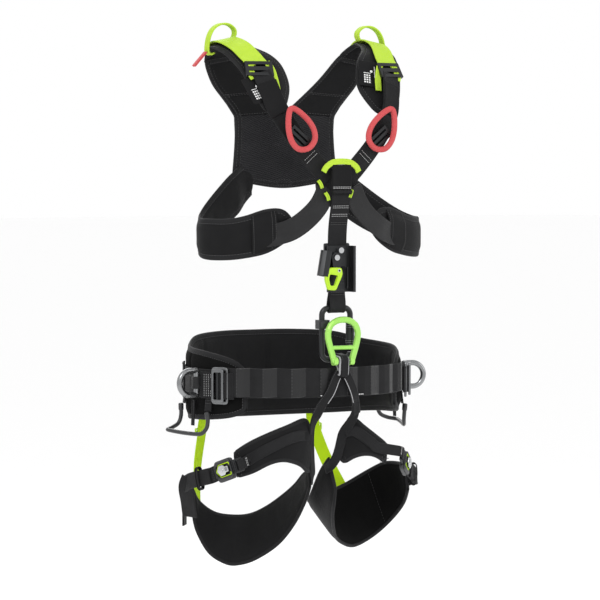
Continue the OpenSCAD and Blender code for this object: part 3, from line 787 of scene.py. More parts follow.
def to_front(points):
    """Control rows that all face the front."""
    return [(p, FRONT) for p in points]


def sewn_row(name, place, start, end, material, *sizes):
    """A straight sewn row between two points of a place, on the side its z axis looks to."""
    return stitches(name, place([start, end]), np.tile(place.z, (2, 1)), material, *sizes)


def plate(name, loops, thick, place, material, bevel=0.8):
    """A flat plate with holes and rounded edges; loops lie in the place's x and y."""
    shape = bpy.data.curves.new(name, "CURVE")
    shape.dimensions = "2D"
    shape.fill_mode = "BOTH"
    shape.extrude = max(thick / 2 - bevel, 0.01)
    shape.bevel_depth = bevel
    shape.bevel_resolution = 2
    shape.offset = -bevel
    for loop in loops:
        spline = shape.splines.new("POLY")
        spline.points.add(len(loop) - 1)
        for point, (x, y) in zip(spline.points, loop):
            point.co = (x, y, 0, 1)
        spline.use_cyclic_u = True
    holder = bpy.data.objects.new(name, shape)
    bpy.context.scene.collection.objects.link(holder)
    graph = bpy.context.evaluated_depsgraph_get()
    flat = bpy.data.meshes.new_from_object(holder.evaluated_get(graph))
    points = np.empty(len(flat.vertices) * 3)
    flat.vertices.foreach_get("co", points)
    faces = [tuple(f.vertices) for f in flat.polygons]
    bpy.data.objects.remove(holder)
    bpy.data.meshes.remove(flat)
    piece = make_mesh(name, place(points.reshape(-1, 3)), faces, material)
    weld(piece)
    return piece


def weld(piece, distance=0.02, angle=35.0):
    """Joins doubled points and keeps hard edges hard."""
    shape = bmesh.new()
    shape.from_mesh(piece.data)
    bmesh.ops.remove_doubles(shape, verts=shape.verts, dist=distance * MM)
    bmesh.ops.recalc_face_normals(shape, faces=shape.faces)
    for edge in shape.edges:
        if len(edge.link_faces) == 2 and edge.calc_face_angle(0) > math.radians(angle):
            edge.smooth = False
    shape.to_mesh(piece.data)
    shape.free()
    piece.data.update()
    return piece


def turned(name, profile, place, material, sides=32):
    """A solid of revolution about the place's z axis; profile rows are (radius, height)."""
    a = np.linspace(0, 2 * math.pi, sides, endpoint=False)
    rings = [place(np.stack([r * np.cos(a), r * np.sin(a), np.full_like(a, z)], 1)) for r, z in profile]
    return weld(loft(name, rings, material))


def belt_normal(t):
    """Direction away from the belt's oval at angle t in degrees, not of unit length."""
    return BELT[1] * math.sin(math.radians(t)), -BELT[0] * math.cos(math.radians(t)), 0.0


def on_belt(t, side, out=0.0, z=0.0):
    """Local frame on the belt at angle t: x along the belt to the front, y up, z outward."""
    at = oval(BELT, t, z, out)
    normal = unit(belt_normal(t))
    forward = np.cross(UP, normal)
    forward = unit(forward if forward[1] < 0 else -forward)
    flip = np.array([-SIDES[side], 1, 1])
    return Place(at * flip, forward * flip, UP, normal * flip)


# ---- Waist belt ----

BELT_PROFILE = [(50, 14, -46), (56, 28, -54), (65, 36, -59), (82, 43, -63), (100, 46, -65), (116, 50, -68),
                (134, 60, -72), (158, 63, -75), (180, 63, -76)]
BELT_WEB_Z = -6.0


def belt_rows(angles, out, z):
    """Control rows of a horizontal strap round the belt."""
    return [(oval(BELT, t, z, out), belt_normal(t)) for t in angles]


def belt_stitches(name, line, material, *sizes):
    """A sewn row on the outside of the belt."""
    return stitches(name, line, unit(line * [1, 1, 0]), material, *sizes)


def make_belt_pad():
    profile = BELT_PROFILE + [(360 - t, a, b) for t, a, b in BELT_PROFILE[-2::-1]]
    top = [oval(BELT, t, a) for t, a, _ in profile]
    bottom = [oval(BELT, t, b) for t, _, b in profile]
    pad = Pad(top, bottom, BELT_PAD_T, 190, 26, seams=(75, 190, 330, 470, 585))
    body = pad.build("belt_pad_foam", M["lining"], puff=2.0, wrinkle=0.3, seed=1.0)
    paint_outside(body, pad, M["smooth"])
    piece = bound_pad("belt_pad", "harness", pad, body, width=7.5)


def paint_outside(piece, pad, material):
    """Uses another material on the outward face of a pad."""
    piece.data.materials.append(material)
    n = (pad.surface.shape[0] - 1) * (pad.surface.shape[1] - 1)
    for k, face in enumerate(piece.data.polygons):
        if k < 2 * n and k % 2 == 0:
            face.material_index = 1


def make_belt_webbing():
    run = belt_rows(range(66, 295, 6), BELT_WEB_OUT, BELT_WEB_Z)
    pieces = [strap("belt_web_run", run, WIDTH["belt"], M["web"])]
    inset = WIDTH["sleeve"] / 2 - 2.5
    for a, b in ((104, 122), (128, 150), (168, 192), (210, 232), (238, 256)):
        rows = belt_rows(np.linspace(a, b, 7), BELT_WEB_OUT + 2.2, BELT_WEB_Z)
        pieces.append(strap("belt_sleeve", rows, WIDTH["sleeve"], M["smooth"], thick=1.6))
        for z in (BELT_WEB_Z - inset, BELT_WEB_Z + inset):
            line = oval(BELT, np.linspace(a + 0.5, b - 0.5, 30), z, BELT_WEB_OUT + 3.0)
            pieces.append(belt_stitches("sleeve_row", line, M["dark_thread"]))
        for t in (a + 0.8, b - 0.8):
            line = oval(BELT, np.full(12, t), np.linspace(BELT_WEB_Z - 24, BELT_WEB_Z + 24, 12),
                        BELT_WEB_OUT + 3.0)
            pieces.append(belt_stitches("sleeve_row", line, M["dark_thread"]))
    finish(join("belt_webbing", pieces), "harness", "black_webbing", "belt_web")


def make_front_band():
    """Webbing across the front inside an elastic keeper that lies in pleats."""
    panels = 17
    arc = np.linspace(-61, 61, panels + 1)
    swing = [0.4, 5.6, 0.9, 6.2, 1.6, 5.0, 0.3, 4.8, 1.1, 4.3, 0.5, 5.2, 1.4, 6.2, 0.6, 5.6, 0.9, 4.2]
    drop = [0.0, -0.7, 0.4, -0.3, 0.6, -0.5, 0.2, -0.6, 0.0, 0.5, -0.4, 0.3, -0.6, 0.4, -0.2, 0.5, -0.3, 0.0]
    points, faces = [], []
    for i in range(panels):
        for f in (0.0, 0.06, 0.5, 0.94):
            t = arc[i] + (arc[i + 1] - arc[i]) * f
            g = np.clip((f - 0.06) / 0.88, 0, 1)
            out = BELT_WEB_OUT - 1.0 + swing[i] * (1 - g) + swing[i + 1] * g + (1.3 if f == 0.5 else 0.0)
            points.append(oval(BELT, t, -2.0 + drop[i] * (1 - g) + drop[i + 1] * g, out))
            faces.append(unit(belt_normal(t)))
    points, faces = np.array(points), np.array(faces)
    shape = flat_section(WIDTH["belt"], 1.8, lip=0.15)
    rings = points[:, None] + UP * shape[None, :, :1] + faces[:, None] * shape[None, :, 1:]
    keeper = loft("front_keeper", rings, M["web"], uv=lengths(rings, shape[:, 0]))
    keeper.data.materials.append(M["satin"])
    for face in keeper.data.polygons:
        t = math.degrees(math.atan2(face.center[0] / BELT[0], -face.center[1] / BELT[1]))
        face.material_index = int((t + 61) // (122 / panels)) % 2
    weld(keeper, 0.01, 14)
    pieces = [keeper]
    for a in arc[1:-1:2]:
        line = oval(BELT, np.full(10, a), np.linspace(-22, 19, 10), BELT_WEB_OUT + 5.6)
        pieces.append(belt_stitches("pleat_row", line, M["dark_thread"], *ROW["pleat"]))
    for t0, t1 in ((-11, -7.5), (8, 13.5)):
        line = oval(BELT, np.linspace(t0, t1, 8), -22.5, BELT_WEB_OUT + 4.6)
        pieces.append(belt_stitches("bar_tack", line, M["print"], *ROW["bar"]))
    under = strap("front_web", belt_rows(range(-63, 64, 7), BELT_WEB_OUT - 1.2, -4), WIDTH["front_band"],
                  M["web"])
    finish(join("front_band_cloth", pieces + [under]), "harness", "black_webbing", "front_band")


def make_belt_buckles():
    for side in SIDES:
        base = on_belt(64, side, BELT_WEB_OUT + 5, -8)
        ring = plate("belt_frame", [rectangle(30, 58, 6), rectangle(20, 45, 2.5)], 4, base, M["dim_alloy"],
                     1.2)
        bar = plate("belt_frame_bar", [rectangle(3.4, 47, 1)], 3.2, base.moved(x=-4, z=0.2), M["dim_alloy"],
                    1.0)
        finish(join("belt_buckle_frame_" + side + "_metal", [ring, bar]), "harness", "grey_alloy",
               "belt_buckle_frame_" + side)
        top = on_belt(64, side, BELT_WEB_OUT + 11.5, -8)
        slider = plate("slider", [rectangle(22, 52, 4), rectangle(14, 42, 2)], 4, top, M["dim_alloy"], 1.2)
        middle = plate("slider_bar", [rectangle(4.4, 44, 1.4)], 3.4, top, M["dark_alloy"], 1.2)
        finish(join("belt_buckle_slider_" + side + "_metal", [slider, middle]), "slider_" + side, "grey_alloy",
               "belt_buckle_slider_" + side)
        # The webbing dips under the frame's ends and rises over its middle bar
        path = ((24, -2.5), (17, -1.7), (10, 3.1), (4, 5.3), (-1, 2.9), (-6, -0.9), (-14, -2.9), (-26, -3.7),
                (-38, -3.9))
        pieces = [strap("buckle_web", [base.row(x, 0, z) for x, z in path], WIDTH["buckle"], M["web"],
                        step=1.5)]
        for x in (-19, -23, -27, -31):
            pieces.append(sewn_row("buckle_row", base, (x, -18, -1.9), (x, 18, -1.9), M["thread"],
                                   *ROW["buckle"]))
        finish(join("buckle_webbing_" + side, pieces), "harness", "black_webbing")

# ---- Side rings and gear loops ----

GEAR_LOOP = [(-179, 45, -46), (-179, 45, -62), (-184, 44, -74), (-196, 41, -80), (-206, 35, -82),
             (-208, 29, -83), (-200, 3, -85), (-188, -25, -86), (-182, -37, -84), (-178, -44, -76),
             (-177, -47, -66), (-178, -47, -54)]
SIDE_RING_T = 80


def make_side_keepers():
    """Webbing folded round the straight bar of each side ring and sewn to the belt."""
    for side in SIDES:
        bar = on_belt(SIDE_RING_T, side, BELT_WEB_OUT + 9.8, -5)
        loop = [(28, -7.6), (18, -7.4), (8.5, -4.6)] + [(6.6 * math.cos(t), 6.6 * math.sin(t))
                for t in np.radians(np.linspace(-20, 200, 10))] + [(-8.5, -4.6), (-18, -7.4), (-28, -7.6)]
        path = np.array(loop)
        points = bar(np.stack([path[:, 0], np.zeros(len(path)), path[:, 1]], 1))
        normals = np.stack([np.gradient(path[:, 1]), -np.gradient(path[:, 0])], 1)
        faces = [n[0] * bar.x + n[1] * bar.z for n in unit(normals)]
        pieces = [strap("keeper_loop", list(zip(points, faces)), 19, M["glossy_web_painted_sheen"], thick=2.0, step=1.2)]
        for x in (16, 20, 24, -16, -20, -24):
            pieces.append(sewn_row("keeper_row", bar, (x, -8, -6.2), (x, 8, -6.2), M["dark_thread"],
                                   *ROW["keeper"]))
        finish(join("side_ring_keeper_" + side + "_web", pieces), "harness", "black_webbing",
               "side_ring_keeper_" + side)


def make_gear_loops():
    for side in SIDES:
        path = curve(mirrored(GEAR_LOOP, side), 90)
        loop = tube("gear_tube", path, 6.5, M["tube_plastic"], (-0.5 * SIDES[side], 0, 1))
        caps = []
        for i, j in ((0, 1), (-1, -2)):
            go = unit(path[i] - path[j])
            across = unit(np.cross(go, (0.3, 1, 0.2)))
            place = Place(path[i] - go * 7, across, np.cross(go, across))
            caps.append(turned("gear_cap", [(3.4, -1), (4.1, 0.5), (4.2, 9), (3.4, 10.5), (1.0, 11)], place,
                               M["dark_plastic"], 24))
        finish(join("gear_loop_" + side + "_tube", [loop] + caps), "gear_loop_" + side, "dark_plastic",
               "gear_loop_" + side)


def make_belt_tabs():
    """Small sewn tabs that hold the gear loops' ends, and a webbing tail on each side."""
    for side in SIDES:
        pieces = []
        for t, z0, z1, width in ((104.6, -24, -42, 17), (73.6, -26, -50, 14)):
            rows = [on_belt(t, side, out, z0 + (z1 - z0) * f).row(0, 0, 0)
                    for f, out in ((0.0, 8.2), (0.3, 8.6), (0.65, 9.6), (1.0, 10.6))]
            pieces.append(strap("gear_tab", rows, width, M["web"], thick=2.0))
            at = on_belt(t, side, 10.2, z0 - 6)
            for y in (0, -5):
                pieces.append(sewn_row("tab_row", at, (-6, y, 0), (6, y, 0), M["dark_thread"], 2.0, 0.9))
        tail = on_belt(88, side, 9.5, -60)
        rows = [tail.row(0, 26, -0.5), tail.row(0, 8, 0.5), tail.row(0, -14, 1.5)]
        pieces.append(strap("belt_tail", rows, 9, M["web"], thick=2.0))
        finish(join("belt_tabs_" + side, pieces), "harness", "black_webbing")


# ---- Back yoke and shoulders ----

YOKE_OUTER = [(-93, 31, 316), (-88, 32, 372), (-89, 32, 412), (-107, 32, 437), (-128, 31, 462),
              (-141, 28, 488), (-145.5, 23.4, 501.5)]
YOKE_INNER = [(-2, 34, 299), (-2, 36, 360), (-3, 36, 418), (-28, 36, 438), (-64, 35, 470), (-90, 31, 500),
              (-98, 27.4, 510)]
SHOULDER_OUTER = [(-146, 22, 505), (-153, 2, 516), (-154, -24, 518), (-150, -56, 508), (-146, -74, 496),
                  (-140, -92, 480), (-129, -112, 448), (-118, -122, 424)]
SHOULDER_INNER = [(-100, 26, 513), (-110, 4, 527.5), (-108, -22, 526), (-95, -54, 516), (-80, -72, 506),
                  (-67, -86, 488), (-62, -100, 456), (-78, -117, 424)]
SHOULDER_WEB = [((-131.8, 10, 528), (-0.25, 0.35, 0.9)), ((-131.6, -4, 531.4), (-0.2, 0.05, 1)),
                ((-130.6, -28, 530.6), (-0.2, -0.15, 1)), ((-126, -57.6, 520.8), (-0.2, -0.4, 0.9)),
                ((-120, -80.5, 505), (-0.15, -0.65, 0.78)), ((-118.2, -88.8, 499), (-0.1, -0.72, 0.7)),
                ((-116.4, -99.5, 491), (-0.1, -0.85, 0.5))]
TOP_LOOP = [(-148, -8, 511), (-154, -8, 508.5), (-158, -8, 513), (-158, -8, 523), (-155, -8, 537),
            (-148, -8, 549), (-136, -8, 556), (-122, -8, 556), (-112, -8, 549), (-110.5, -8, 541),
            (-114, -8, 534)]
UNDERARM = [(-22, 252, 228), (-27, 266, 214), (-36, 266, 200), (-48, 256, 193), (-60, 251, 190),
            (-78, 251, 190), (-95, 252, 194), (-112, 262, 204), (-126, 280, 219), (-138, 302, 234),
            (-147, 321, 250), (-155, 333, 268), (-162, 340, 288)]


def sided(rows, side):
    """Control rows of (point, face) for one side."""
    flip = np.array([SIDES[side], 1, 1])
    return [(np.array(p, float) * flip, np.array(f, float) * flip) for p, f in rows]


def make_yoke():
    """The back panel: mesh in the middle, smooth cloth on the arms, one tape round the whole outline."""
    left, right = mirrored(YOKE_OUTER[:3], "r"), mirrored(YOKE_OUTER[:3], "l")

    def bow(s, w):
        """Backward in the middle; down at the lower edge and up at the upper edge."""
        return 4 * w * (1 - w) * (np.array([0, 4.0, -17.0]) * (1 - s) + np.array([0, 4.0, 6.0]) * s)

    middle = Pad(left, right, PAD_T, 70, 80, rim=0.0, edge=3.2, bend=bow)
    pieces = [middle.build("yoke_middle", M["mesh"], wrinkle=0.25, seed=4.0)]
    for side in SIDES:
        outer, inner = mirrored(YOKE_OUTER[2:], side), mirrored(YOKE_INNER[2:], side)
        arm = Pad(outer, inner, PAD_T, 44, 26, rim=0.0, edge=3.2, seams=(44,))
        pieces.append(arm.build("yoke_arm", M["smooth"], wrinkle=0.3, seed=5.0))
        for s in (3.0, 44.0, 47.0):
            at, out, half = arm.at(s, np.linspace(0.06, 0.94, 30))
            for face in (1, -1):
                line = at + out * face * (half[:, None] + 0.15)
                pieces.append(stitches("yoke_seam", line, out * face, M["dark_thread"]))
    bottom = curve([(-93, 31, 316), (-60, 33.4, 306), (0, 35, 299), (60, 33.4, 306), (93, 31, 316)], 40)
    side_r, notch_r = curve(mirrored(YOKE_OUTER, "r"), 50), curve(mirrored(YOKE_INNER[2:], "r"), 30)
    side_l, notch_l = curve(mirrored(YOKE_OUTER, "l"), 50), curve(mirrored(YOKE_INNER[2:], "l"), 30)
    ring = np.vstack([bottom, side_l[1:], notch_l[::-1], notch_r, side_r[::-1][:-1]])
    edge = Loop(ring, (0, 1, 0), 3.2)
    pieces.append(binding("yoke_tape", edge, M["binding"], width=9.5, proud=0.9))
    for inset in (8.0, 2.2):
        line, out, inward = edge.outline(count=700)
        for face in (1, -1):
            row = line + inward * inset + out * face * 4.25
            pieces.append(stitches("yoke_row", row, out * face, M["dark_thread"], size=0.4))
    for face in (1, -1):
        place = Place((-2, 35 + face * 4.0, 307), (1, 0, 0), (0, 0, 1))
        patch = plate("yoke_patch", [rectangle(28, 11, 1)], 1.0, place, M["binding"], 0.3)
        loop = rectangle(25, 8.5, 0.5)
        row = place(outline_of(np.vstack([loop, loop[:1]]), 0.0)) + (0, face * 0.6, 0)
        pieces += [patch, stitches("patch_row", row, np.tile((0, face, 0), (len(row), 1)), M["dark_thread"],
                                   size=0.4)]
    piece = join("back_yoke_cloth", pieces)
    finish(piece, "harness", "mesh_cloth", "back_yoke")


def make_shoulders():
    for side in SIDES:
        # The pad runs from its front end back into the yoke's arm, where it has no tape
        outer = mirrored([(-108, -122.5, 415)] + SHOULDER_OUTER[::-1] + [(-145.5, 25, 497)], side)
        inner = mirrored([(-90, -120.5, 415)] + SHOULDER_INNER[::-1] + [(-97.5, 28.5, 506)], side)
        pad = Pad(outer, inner, PAD_T, 100, 24, open_end=True)
        body = pad.build("shoulder_foam", M["smooth"], puff=2.0, seed=7.0)
        piece = bound_pad("shoulder_pad_" + side, "harness", pad, body)
        rows = [((-127, 27, 511), (-0.3, 0.7, 0.6)), ((-130, 20, 519.5), (-0.3, 0.6, 0.7))] + SHOULDER_WEB
        run = strap("shoulder_run", sided(rows, side), WIDTH["shoulder"], M["neon"], step=2.5)
        path = curve(mirrored(TOP_LOOP, side), 70)
        faces = np.cross(slope(path), (0, 1, 0)) * SIDES[side]
        loop = strap("top_loop", list(zip(path, faces)), WIDTH["top_loop"], M["neon"], step=1.5)
        finish(join("shoulder_web_" + side + "_cloth", [run, loop]), "harness", "bright_webbing",
               "shoulder_web_" + side)
        make_label(side, pad)


def make_label(side, pad):
    """Cloth flap with a plain printed pattern, in the place of the photographed label."""
    s, w = (38.0, 0.03) if side == "r" else (66.0, 0.76)
    at, out, half = (value[0] for value in pad.at(np.array([s]), np.array([w])))
    out = out if out @ FRONT > 0 else -out
    low, _, _ = pad.at(np.array([s - 12]), np.array([w]))
    up = unit(at - low[0])
    place = Place(at + out * (half + 2.2), np.cross(up, out), up, out).turned(math.radians(8))
    flap = [plate("label_flap", [rectangle(33, 44, 3)], 1.6, place, M["smooth"], 0.5)]
    marks = [rectangle(2.6, 2.6, 0.5, x, y) for x in (-7, -3, 1) for y in (-15, -11, -7, -3)]
    marks += [rectangle(12, 1.0, 0.4, -3, 1), disc(2.2, 4.5, 4.5), rectangle(1.0, 20, 0.4, 10, 4),
              rectangle(0.8, 14, 0.4, 12.4, 1)]
    for mark in marks:
        flap.append(plate("label_mark", [mark], 0.4, place.moved(z=0.95), M["print"], 0.1))
    finish(join("label_" + side, flap), "harness", "pad_cloth")


def make_underarms():
    for side in SIDES:
        pad = underarm_panel(side)
        body = pad.build("underarm_foam", M["smooth"], puff=2.0, seed=9.0)
        piece = bound_pad("underarm_pad_" + side, "harness", pad, body)


def underarm_panel(side):
    """The underarm pad, whose rear end runs into the yoke."""
    top = [oval(CHEST, t, a) for t, a, _ in UNDERARM]
    bottom = [oval(CHEST, t, b) for t, _, b in UNDERARM]

    def into_yoke(s, w):
        f = np.clip((s - 0.86) / 0.1, 0, 1)
        return (f * f * (3 - 2 * f) * 13.0 + w * 0) * np.array([0, 1.0, 0])
    return Pad(mirrored(top, side), mirrored(bottom, side), PAD_T, 110, 22, bend=into_yoke, open_end=True)


# ---- Chest straps ----

FRONT_STRAP = [((-115, -108.5, 479), (-0.2, -0.9, 0.45)), ((-112, -114.5, 468.5), (-0.3, -0.9, 0.4)),
               ((-108, -122, 452), (-0.3, -0.9, 0.3)), ((-101, -133, 425), (-0.3, -0.95, 0.2)),
               ((-89, -140, 402), (-0.2, -1, 0.1)), ((-73, -144, 378), (-0.15, -1, 0)),
               ((-55, -146, 356), (-0.1, -1, 0)), ((-38, -146, 337), (0, -1, 0)),
               ((-24, -146, 322), (0, -1, 0))]
UNDERARM_STRAP = [((-128, -116.5, 224), (-0.45, -0.9, 0)), ((-118, -121.5, 225), (-0.45, -0.9, 0)),
                  ((-102, -131.5, 228), (-0.4, -0.9, 0)), ((-80, -144, 236), (-0.2, -1, 0)),
                  ((-56, -148, 252), (-0.1, -1, 0)), ((-36, -151, 273), (0, -1, 0)),
                  ((-22, -152, 300), (0, -1, 0))]
KEEPER = [(-31, -157, 325), (-26, -158, 333), (-15, -158, 339.5), (0, -158, 341), (15, -158, 339.5),
          (26, -158, 333), (31, -157, 325)]
STERNUM = [(0, -156.5, 326), (0, -157, 300), (0, -155.6, 280), (0, -151, 262), (0, -146, 240), (0, -144, 216),
           (0, -145, 205)]
CHEST_LOOP = [(0, 0, 34), (-10, 0, 24), (-19, 0, 4), (-21, 0, -14), (-15, 0, -28), (0, 0, -34), (15, 0, -28),
              (21, 0, -14), (19, 0, 4), (10, 0, 24)]
CHEST_LOOP_AT = (-74, -159.5, 392)
CHEST_LOOP_LEAN = -26.0


def make_chest_straps():
    for side in SIDES:
        end = to_front([(-14, -146, 311)])
        front = strap("front_strap_" + side + "_web", sided(FRONT_STRAP + end, side), WIDTH["front"], M["web"])
        finish(front, "harness", "black_webbing", "front_strap_" + side)
        lower = strap("underarm_strap_" + side + "_web", sided(UNDERARM_STRAP, side), WIDTH["underarm"],
                      M["glossy_web_painted_sheen"])
        finish(lower, "harness", "black_webbing", "underarm_strap_" + side)
        lean = math.radians(CHEST_LOOP_LEAN)
        path = curve(CHEST_LOOP, 90, closed=True)
        turn = np.stack([path[:, 0] * math.cos(lean) + path[:, 2] * math.sin(lean), path[:, 1],
                         -path[:, 0] * math.sin(lean) + path[:, 2] * math.cos(lean)], 1)
        loop = tube("chest_loop_" + side + "_rope", mirrored(turn + CHEST_LOOP_AT, side), 9, M["coral"],
                    (0, 1, 0), closed=True, sides=24)
        finish(loop, "chest_loop_" + side, "coral_textile", "chest_loop_" + side)
    keeper = strap("centre_keeper_web", to_front(KEEPER), 9.5, M["neon"], thick=3.0, step=1.5)
    finish(keeper, "harness", "bright_webbing", "centre_keeper")
    sternum = strap("sternum_strap_web", to_front(STERNUM), WIDTH["sternum"], M["web"])
    finish(sternum, "harness", "black_webbing", "sternum_strap")

# ---- Leg loops ----

FRONT_TOP = {"r": [(-28, -106, -90), (-36, -117, -68), (-50, -126, -60), (-80, -130, -69), (-112, -124, -81),
                   (-136, -108, -95), (-152, -88, -111)],
             "l": [(24, -108, -100), (30, -114, -72), (42, -122, -62), (56, -128, -74), (74, -131, -88),
                   (98, -129, -105)]}
FRONT_BOTTOM = {"r": [(-26, -104, -146), (-42, -119, -143), (-58, -128, -132), (-86, -131, -124),
                      (-108, -125, -128), (-130, -112, -141), (-148, -92, -150)],
                "l": [(22, -107, -122), (29, -113, -134), (43, -122, -125), (60, -129, -121), (78, -131, -125),
                      (96, -129, -137)]}
REAR_TOP = {"r": [(-12, -76, -146), (-10, -50, -155), (-14, -30, -173), (-23, -6, -192), (-40, 20, -213),
                  (-60, 40, -226), (-84, 55, -228), (-112, 63, -222), (-139, 63, -202), (-154, 54, -180)],
            "l": [(16, -88, -126), (14, -62, -151), (16, -28, -190), (26, 0, -204), (48, 34, -204),
                  (85, 54, -200), (124, 60, -189), (164, 56, -169), (183, 30, -153), (190, -5, -150),
                  (184, -40, -150)]}
REAR_BOTTOM = {"r": [(-16, -86, -172), (-17, -72, -197), (-25, -50, -234), (-42, -25, -269), (-68, 5, -295),
                     (-90, 25, -304), (-106, 34, -302), (-130, 45, -285), (-148, 52, -251), (-156, 50, -225)],
               "l": [(27, -92, -176), (29, -84, -200), (36, -66, -222), (52, -40, -247), (76, -7, -270),
                     (112, 22, -286), (142, 40, -287), (176, 44, -272), (192, 16, -244), (195, -16, -216),
                     (183, -50, -190)]}
LEG_WEB = {"r": [((-181, -66, -148), (-0.87, -0.48, 0)), ((-189, -44, -154), (-1, -0.2, 0)),
                 ((-193, -16, -161), (-1, 0, 0)), ((-188, 14, -172), (-1, 0.3, 0)),
                 ((-177, 42, -184), (-0.9, 0.5, 0)), ((-167, 58, -200), (-0.8, 0.6, 0)),
                 ((-165, 62, -220), (-0.8, 0.6, 0)), ((-165, 62, -240), (-0.8, 0.6, 0))],
           "l": [((162, -88, -153), (0.73, -0.68, 0)), ((177, -74, -162), (0.8, -0.6, 0)),
                 ((192, -56, -169), (0.95, -0.3, 0)), ((199, -34, -172), (1, 0, 0)),
                 ((202, -14, -176), (1, 0, 0))]}
ELASTIC = [((-98, 122.5, -64), (-0.45, 0.9, 0)), ((-103, 124, -98), (-0.4, 0.9, 0)),
           ((-118, 110, -150), (-0.4, 0.9, 0.1)), ((-132, 84, -196), (-0.4, 0.9, 0.2)),
           ((-136, 76, -216), (-0.4, 0.9, 0.1))]
RISER = [((-5, -160.6, 14), (0.2, -1, 0)), ((-12, -160.6, 2), (0, -1, 0)), ((-21, -160, -18), (-0.1, -1, 0)),
         ((-30.5, -150, -38), (-0.2, -1, 0)), ((-36, -142.5, -54), (-0.15, -1, 0))]
# The strip from each riser down the inner edge of the front pad to the rear pad
INNER = {"r": [((-30, -151, -36), (-0.2, -1, 0)), ((-34, -143, -52), (-0.1, -1, 0.1)),
               ((-34, -128, -70), (0.2, -1, 0.3)), ((-30, -115.5, -92), (0.5, -0.85, 0.1)),
               ((-28, -113, -120), (0.55, -0.8, 0)), ((-24, -108, -142), (0.6, -0.75, -0.2)),
               ((-16, -95, -156), (0.75, -0.6, -0.2)), ((-10, -79, -163), (0.95, -0.3, 0))],
         "l": [((30, -151, -36), (0.2, -1, 0)), ((33, -143, -52), (0, -1, 0.1)),
               ((33, -129, -68), (-0.3, -1, 0.3)), ((26, -117, -86), (-0.5, -0.85, 0.1)),
               ((21.5, -113.5, -108), (-0.55, -0.8, 0)), ((18.5, -109, -124), (-0.6, -0.75, -0.2)),
               ((14.5, -99, -138), (-0.8, -0.5, -0.2)), ((12, -84, -146), (-0.97, -0.2, 0))]}
# Place of each quick buckle: its centre, its turn about z and its lean about its own y, in degrees
BUCKLE = {"r": ((-168, -88, -138), -61, -20), "l": ((146, -104, -140), 47, 30)}


def buckle_place(side):
    """x runs to the front pad, y up, z outward."""
    at, turn, lean = BUCKLE[side]
    turn, lean = math.radians(turn), math.radians(lean)
    x = np.array([math.cos(lean) * math.cos(turn), math.cos(lean) * math.sin(turn), -math.sin(lean)])
    up = np.array([math.sin(lean) * math.cos(turn), math.sin(lean) * math.sin(turn), math.cos(lean)])
    out = np.array([math.sin(turn), -math.cos(turn), 0.0])
    return Place(at, x * SIDES[side], up, out)


def outline_of(loop, out):
    """A flat closed row of points at a height."""
    return np.column_stack([loop, np.full(len(loop), out)])


def make_leg_buckle(side):
    body, place = "leg_loop_" + side, buckle_place(side)
    lower = plate("buckle_lower", [rectangle(34, 34, 6)], 6.0, place.moved(z=-2), M["dark_plastic"], 1.6)
    upper = plate("buckle_upper", [rectangle(31, 31, 7), rectangle(25, 17, 3)], 4.6, place.moved(z=2.6),
                  M["dark_plastic"], 1.4)
    well = plate("buckle_well", [rectangle(25.5, 17.5, 3)], 1.0, place.moved(z=1.6), M["dark_alloy"], 0.2)
    rails = [plate("buckle_rail", [rectangle(26, 3.4, 1.6, 0, y)], 3.0, place.moved(z=4.2), M["dark_plastic"],
                   1.0)
             for y in (-12.6, 12.6)]
    hexagon = rounded([(13.5, 7), (13.5, 9.6), (-6, 9.6), (-12.5, 0), (-6, -9.6), (13.5, -9.6), (13.5, -7)],
                      1.5)
    line = curve(place(outline_of(hexagon, 4.9)), 80)
    ring = tube("buckle_line", line, 1.5, M["lime"], place.z, sides=10)
    for x in (-15.4, -13.0):
        at = place(np.linspace((x, -9, 4.9), (x, 9, 4.9), 8))
        rails.append(tube("buckle_grip", at, 1.2, M["dark_plastic"], place.z, sides=8))
    finish(join("leg_buckle_" + side + "_body", [lower, upper, well, ring] + rails), body, "dark_plastic",
           "leg_buckle_" + side)
    lever_place = place.moved(z=7.5)
    flat = rounded([(-4, 8), (4, 8), (7, 4.4), (12.5, 4.4), (12.5, -4.4), (7, -4.4), (4, -8), (-4, -8),
                    (-9, 0)], 1.2)
    flap = plate("lever_plate", [flat], 3.0, lever_place, M["steel"], 0.7)
    dome = plate("lever_stud", [disc(3.4, -1, 0)], 1.0, lever_place.moved(z=1.7), M["steel"], 0.3)
    grips = [plate("lever_grip", [rectangle(0.9, 6, 0.4, x, 0)], 0.8, lever_place.moved(z=1.7), M["alloy"],
                   0.3)
             for x in (7, 8.7, 10.4)]
    finish(join("leg_lever_" + side + "_plate", [flap, dome] + grips), "lever_" + side, "steel",
           "leg_lever_" + side)
    tongue = plate("tongue_frame", [rectangle(44, 22, 2.5, 14, 0), rectangle(6, 15, 1, 6, 0),
                                    rectangle(7, 16, 1, 27.5, 0)],
                   3.0, place, M["dark_alloy"], 0.9)
    ribs = [plate("tongue_rib", [rectangle(1.6, 17, 0.6, x, 0)], 1.6, place.moved(z=2.0), M["dark_alloy"], 0.5)
            for x in (13.5, 17.5, 21.5)]
    finish(join("leg_tongue_" + side + "_frame", [tongue] + ribs), "tongue_" + side, "dark_alloy",
           "leg_tongue_" + side)


def over_pad(pad, track, lift, sign):
    """Control rows of a strap that lies on a pad along (s, w) places."""
    rows = []
    for s, w in track:
        at, out, half = pad.at(np.array([s]), np.array([w]))
        rows.append((at[0] + sign * out[0] * (half[0] + lift), sign * out[0]))
    return rows


def pad_sign(pad):
    """1 if the pad's own normals look to the wearer's front, -1 otherwise."""
    return 1.0 if pad.out.reshape(-1, 3).mean(0) @ FRONT > 0 else -1.0


# Cross seams of the rear pads, as parts of the pad's length
REAR_SEAMS = {"r": (0.18,), "l": (0.18, 0.74)}


